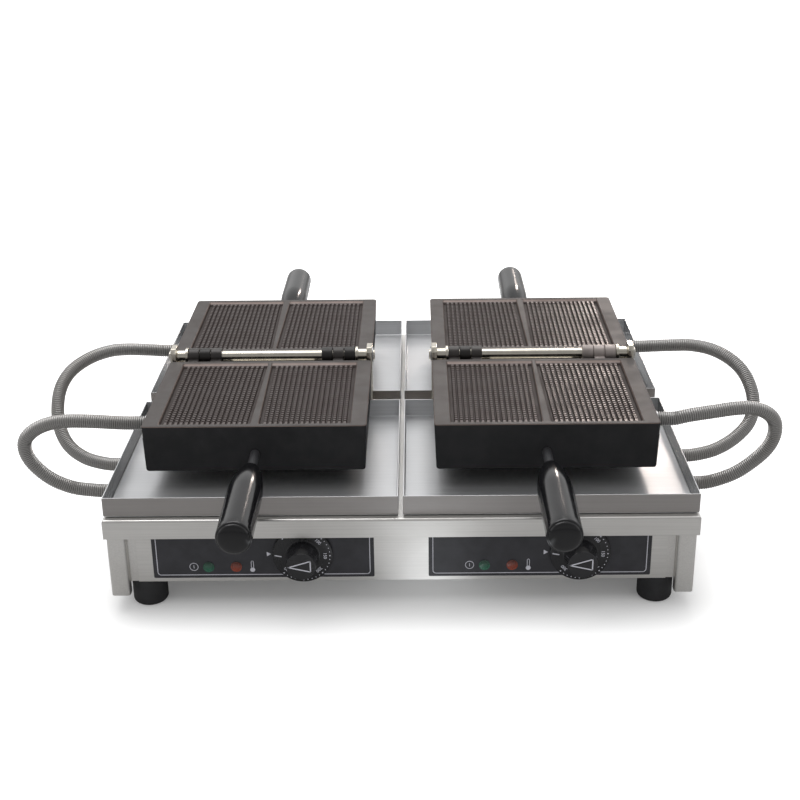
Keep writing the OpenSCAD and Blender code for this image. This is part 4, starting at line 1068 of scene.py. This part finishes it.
def knob_outline(tall):
    """Half section of a moulded knob from its face to its hub, with the skirt's thin edge."""
    skirt, thick, grip, face = settings()[1].knob_skirt, SKIRT_THICKNESS, 0.017, 0.0155
    soft, cove, lip, wall, roof = 0.0012, 0.002, 0.0004, 0.002, tall - 0.004
    hub, bore, bore_end = 0.0065, 0.00305, 0.0162
    return [(0.0, tall), *round_points(face - soft, tall - soft, soft, 90, -90, 6),
            *round_points(grip + cove, thick + cove, cove, 180, 90, 6),
            (skirt - soft, thick), (skirt - 0.0003, thick - 0.0005), (skirt, thick - 0.0014),
            (skirt, lip), (skirt - lip, 0.0), (skirt - wall, 0.0), (skirt - wall, 0.0016),
            (0.015, 0.0017), (0.0135, roof), (hub, roof), (hub, 0.0), (bore, 0.0),
            (bore, bore_end), (0.0, bore_end)]


def knob_pieces(unit):
    """Moulded knob, with its scale and the pointer on its face."""
    detail = settings()[1]
    low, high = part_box(f"{unit}_knob")
    tall, height, body = high.y - low.y, detail.print_height, f"{unit}_control"
    place = flat_to_panel(KNOBS[unit].x, high.y, KNOBS[unit].z)
    knob = revolved(knob_outline(tall), steps=72)
    knob.transform(place)
    finish_mesh(f"{unit}_moulded_knob", knob, "knob", body, smooth=32,
                replaces=(f"{unit}_knob",))
    on_skirt = place @ Matrix.Translation((0, 0, SKIRT_THICKNESS))
    on_face = place @ Matrix.Translation((0, 0, tall))
    bm = bmesh.new()
    figure_size, figure_reach = 0.0050, 0.0235
    for i in range(6):
        turn = Matrix.Rotation(-i * math.pi / 4, 4, "Z")
        up = Matrix.Translation((0, figure_reach, 0.0001))
        figure(bm, str(50 * (i + 1)), figure_size, on_skirt @ turn @ up, height)
    dot_reach, dot, small_dot = detail.knob_skirt - 0.0029, 0.0008, 0.00055
    for i in range(31):
        angle = math.radians(135 - 9 * i)
        centre = (dot_reach * math.cos(angle), dot_reach * math.sin(angle))
        spot(bm, centre, small_dot if i % 5 else dot, height, on_skirt)
    # Dash on the skirt, and the pointer's triangle on the face
    bar(bm, (-0.0288, 0.0004), (-0.0228, -0.0008), 0.0013, height, on_skirt)
    pointer = [(-0.0132, -0.0003), (0.0098, 0.0068), (0.0098, -0.0056)]
    for a, b in zip(pointer, pointer[1:] + pointer[:1]):
        bar(bm, a, b, 0.0012, height, on_face)
    finish_mesh(f"{unit}_knob_print", bm, "ink", body, smooth=30)


class WAFFLE_OT_controls(bpy.types.Operator):
    """Make the control overlays, their print, the knobs and the pilot lamps"""

    bl_idname = "waffle.controls"
    bl_label = "Controls"

    def execute(self, context):
        for unit in SIDE:
            refined(f"{unit}_control_overlay", "overlay", width=0.0001)
            overlay_print(unit)
            knob_pieces(unit)
            painted(f"{unit}_spindle", "zinc")
        refined("power_lamps", "green", width=0.0)
        refined("heating_lamps", "orange", width=0.0)
        return {"FINISHED"}


def area_lamp(name, place, target, size, power, colour=(1, 1, 1)):
    """Rectangular lamp that looks at a point."""
    lamp = bpy.data.lights.new(name, "AREA")
    lamp.shape = "RECTANGLE"
    lamp.size, lamp.size_y = size
    lamp.energy = power
    lamp.color = colour
    holder = bpy.data.objects.new(name, lamp)
    bpy.context.scene.collection.objects.link(holder)
    holder.location = place
    holder.rotation_euler = (Vector(target) - Vector(place)).to_track_quat("-Z", "Y").to_euler()


def shaded(tree, kind, value, colour=(1, 1, 1)):
    """Emission or Background of a strength, or a grey Diffuse where it has no strength."""
    if kind == "BsdfDiffuse":
        return add(tree, kind, {"Color": (value, value, value, 1)}).outputs[0]
    colour = colour if isinstance(colour, bpy.types.NodeSocket) else (*colour, 1)
    return add(tree, kind, {"Color": colour, "Strength": value}).outputs[0]


def switched(tree, flag, first, second):
    """The first shader, or the second one for the rays that the flag marks."""
    return add(tree, "MixShader", {0: flag, 1: first, 2: second}).outputs[0]


class WAFFLE_OT_stage(bpy.types.Operator):
    """Set up the camera, the lamps, the floor and the white backdrop"""

    bl_idname = "waffle.stage"
    bl_label = "Stage"

    def execute(self, context):
        stage, scene = settings()[2], context.scene
        scene.view_settings.view_transform = "Standard"
        self.camera(scene, stage)
        self.world(scene, stage)
        area_lamp("key_lamp", place=(-0.35, 0.55, 1.9), target=(0, 0, 0.1), size=(2.4, 1.4),
                  power=stage.key)
        area_lamp("glare_lamp", place=(0.60, 2.3, 0.98), target=(0.24, 0, 0.18), size=(0.16, 0.36),
                  power=stage.glare, colour=(1, 0.86, 0.78))
        self.floor(scene)
        return {"FINISHED"}

    def camera(self, scene, stage):
        """The photograph's camera, solved from the object's edges."""
        cos_p, sin_p = math.cos(stage.pitch), math.sin(stage.pitch)
        forward = Vector((math.sin(stage.yaw) * cos_p, math.cos(stage.yaw) * cos_p, -sin_p))
        right = Vector((math.cos(stage.yaw), -math.sin(stage.yaw), 0))
        up = right.cross(forward)
        turned_right = right * math.cos(stage.roll) + up * math.sin(stage.roll)
        turned_up = up * math.cos(stage.roll) - right * math.sin(stage.roll)
        data = bpy.data.cameras.new("photo_camera")
        data.lens = stage.lens
        data.sensor_width = 36
        data.shift_x, data.shift_y = CAMERA_SHIFT
        camera = bpy.data.objects.new("photo_camera", data)
        scene.collection.objects.link(camera)
        axes = Matrix((turned_right, turned_up, -forward)).transposed().to_4x4()
        camera.matrix_world = Matrix.Translation(stage.camera) @ axes
        scene.camera = camera

    def world(self, scene, stage):
        """White to the camera, even light on matt things, and a graded room for reflections."""
        world = bpy.data.worlds.new("white_studio")
        world.use_nodes = True
        scene.world = world
        tree = world.node_tree
        tree.nodes.clear()
        out = add(tree, "OutputWorld")
        rays = add(tree, "LightPath").outputs
        way = add(tree, "TexCoord").outputs["Generated"]
        front = spread(tree, axis_of(tree, way, "Y"), -0.6, 0.1, 0.40, 1.0)
        room = add(tree, "ValToRGB", {0: spread(tree, axis_of(tree, way, "Z"), -1, 1)})
        ends, between = (ROOM_STOPS[0], ROOM_STOPS[-1]), ROOM_STOPS[1:-1]
        for element, (place, value) in zip(room.color_ramp.elements, ends):
            element.position, element.color = place, (value, value, value, 1)
        for place, value in between:
            room.color_ramp.elements.new(place).color = (value, value, value, 1)
        kind = "Background"
        lit = switched(tree, rays["Is Glossy Ray"], shaded(tree, kind, stage.world),
                       shaded(tree, kind, front, room.outputs[0]))
        final = switched(tree, rays["Is Camera Ray"], lit, shaded(tree, kind, 1.0))
        tree.links.new(final, out.inputs["Surface"])

    def floor(self, scene):
        """White paper that keeps the shadow.

        The camera sees it glow more the further it lies from the machine. Reflections see it
        darker, with a soft bright patch in front of the machine's middle, as a flash would leave.
        """
        shadow_half, fade, near_glow, far_glow = (0.27, 0.245, 0), 0.13, 0.10, 0.85
        flash_x, flash_half, flash_ends, flash_colour = 0.030, 0.06, (-0.70, -0.56), (0.92, 0.96, 1)
        bm = bmesh.new()
        bmesh.ops.create_grid(bm, x_segments=1, y_segments=1, size=6.0)
        mesh = bpy.data.meshes.new("floor")
        bm.to_mesh(mesh)
        bm.free()
        floor = bpy.data.objects.new("floor", mesh)
        scene.collection.objects.link(floor)
        paper = bpy.data.materials.new("white_paper")
        paper.use_nodes = True
        tree = paper.node_tree
        tree.nodes.clear()
        out = add(tree, "OutputMaterial")
        rays = add(tree, "LightPath").outputs
        place = add(tree, "TexCoord").outputs["Object"]
        away = place
        for operation, second in (("ABSOLUTE", (0, 0, 0)), ("SUBTRACT", shadow_half),
                                  ("MAXIMUM", (0, 0, 0))):
            away = add(tree, "VectorMath", {0: away, 1: second}, operation=operation).outputs[0]
        reach = add(tree, "VectorMath", {0: away}, operation="LENGTH").outputs["Value"]
        kind = "BsdfDiffuse"
        paper_shade = switched(tree, rays["Is Glossy Ray"], shaded(tree, kind, 0.80),
                               shaded(tree, kind, 0.46))
        beside = maths(tree, "SUBTRACT", axis_of(tree, place, "X"), flash_x)
        beside = maths(tree, "ABSOLUTE", beside)
        ahead = spread(tree, axis_of(tree, place, "Y"), *flash_ends, 0, 1)
        bright = maths(tree, "MULTIPLY", spread(tree, beside, 0.0, flash_half, 1.0, 0), ahead)
        kind = "Emission"
        flash = switched(tree, rays["Is Glossy Ray"], shaded(tree, kind, 0.0),
                         shaded(tree, kind, bright, flash_colour))
        glow = shaded(tree, kind, spread(tree, reach, 0, fade, near_glow, far_glow))
        lift = switched(tree, rays["Is Camera Ray"], flash, glow)
        both = add(tree, "AddShader", {0: paper_shade, 1: lift})
        tree.links.new(both.outputs[0], out.inputs["Surface"])
        mesh.materials.append(paper)


OPERATORS = (WAFFLE_OT_stage, WAFFLE_OT_hoses, WAFFLE_OT_housing, WAFFLE_OT_trays, WAFFLE_OT_plates,
             WAFFLE_OT_covers, WAFFLE_OT_hinges, WAFFLE_OT_handles, WAFFLE_OT_controls)


class WAFFLE_PT_sidebar(bpy.types.Panel):
    """Lists the finishes, the details and the steps that make the machine"""

    bl_idname = "WAFFLE_PT_sidebar"
    bl_label = "Waffle Maker"
    bl_space_type = "VIEW_3D"
    bl_region_type = "UI"
    bl_category = "Waffle Maker"

    def draw(self, context):
        for label, group in zip(("Finishes", "Details", "Stage"), settings()):
            box = self.layout.box()
            box.label(text=label)
            for key in group.__annotations__:
                box.prop(group, key)
        for operator in OPERATORS:
            self.layout.operator(operator.bl_idname)


SETTINGS = {"waffle_finish": FinishSettings, "waffle_detail": DetailSettings,
            "waffle_stage": StageSettings}
CLASSES = (*SETTINGS.values(), *OPERATORS, WAFFLE_PT_sidebar)


def register():
    for cls in CLASSES:
        bpy.utils.register_class(cls)
    for name, cls in SETTINGS.items():
        setattr(bpy.types.Scene, name, PointerProperty(type=cls))


def unregister():
    for name in SETTINGS:
        delattr(bpy.types.Scene, name)
    for cls in reversed(CLASSES):
        bpy.utils.unregister_class(cls)


def main():
    """Registers the add-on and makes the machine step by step."""
    register()
    for operator in OPERATORS:
        getattr(bpy.ops.waffle, operator.bl_idname.split(".")[1])()
    bpy.context.view_layer.update()


if __name__ == "__main__":
    main()
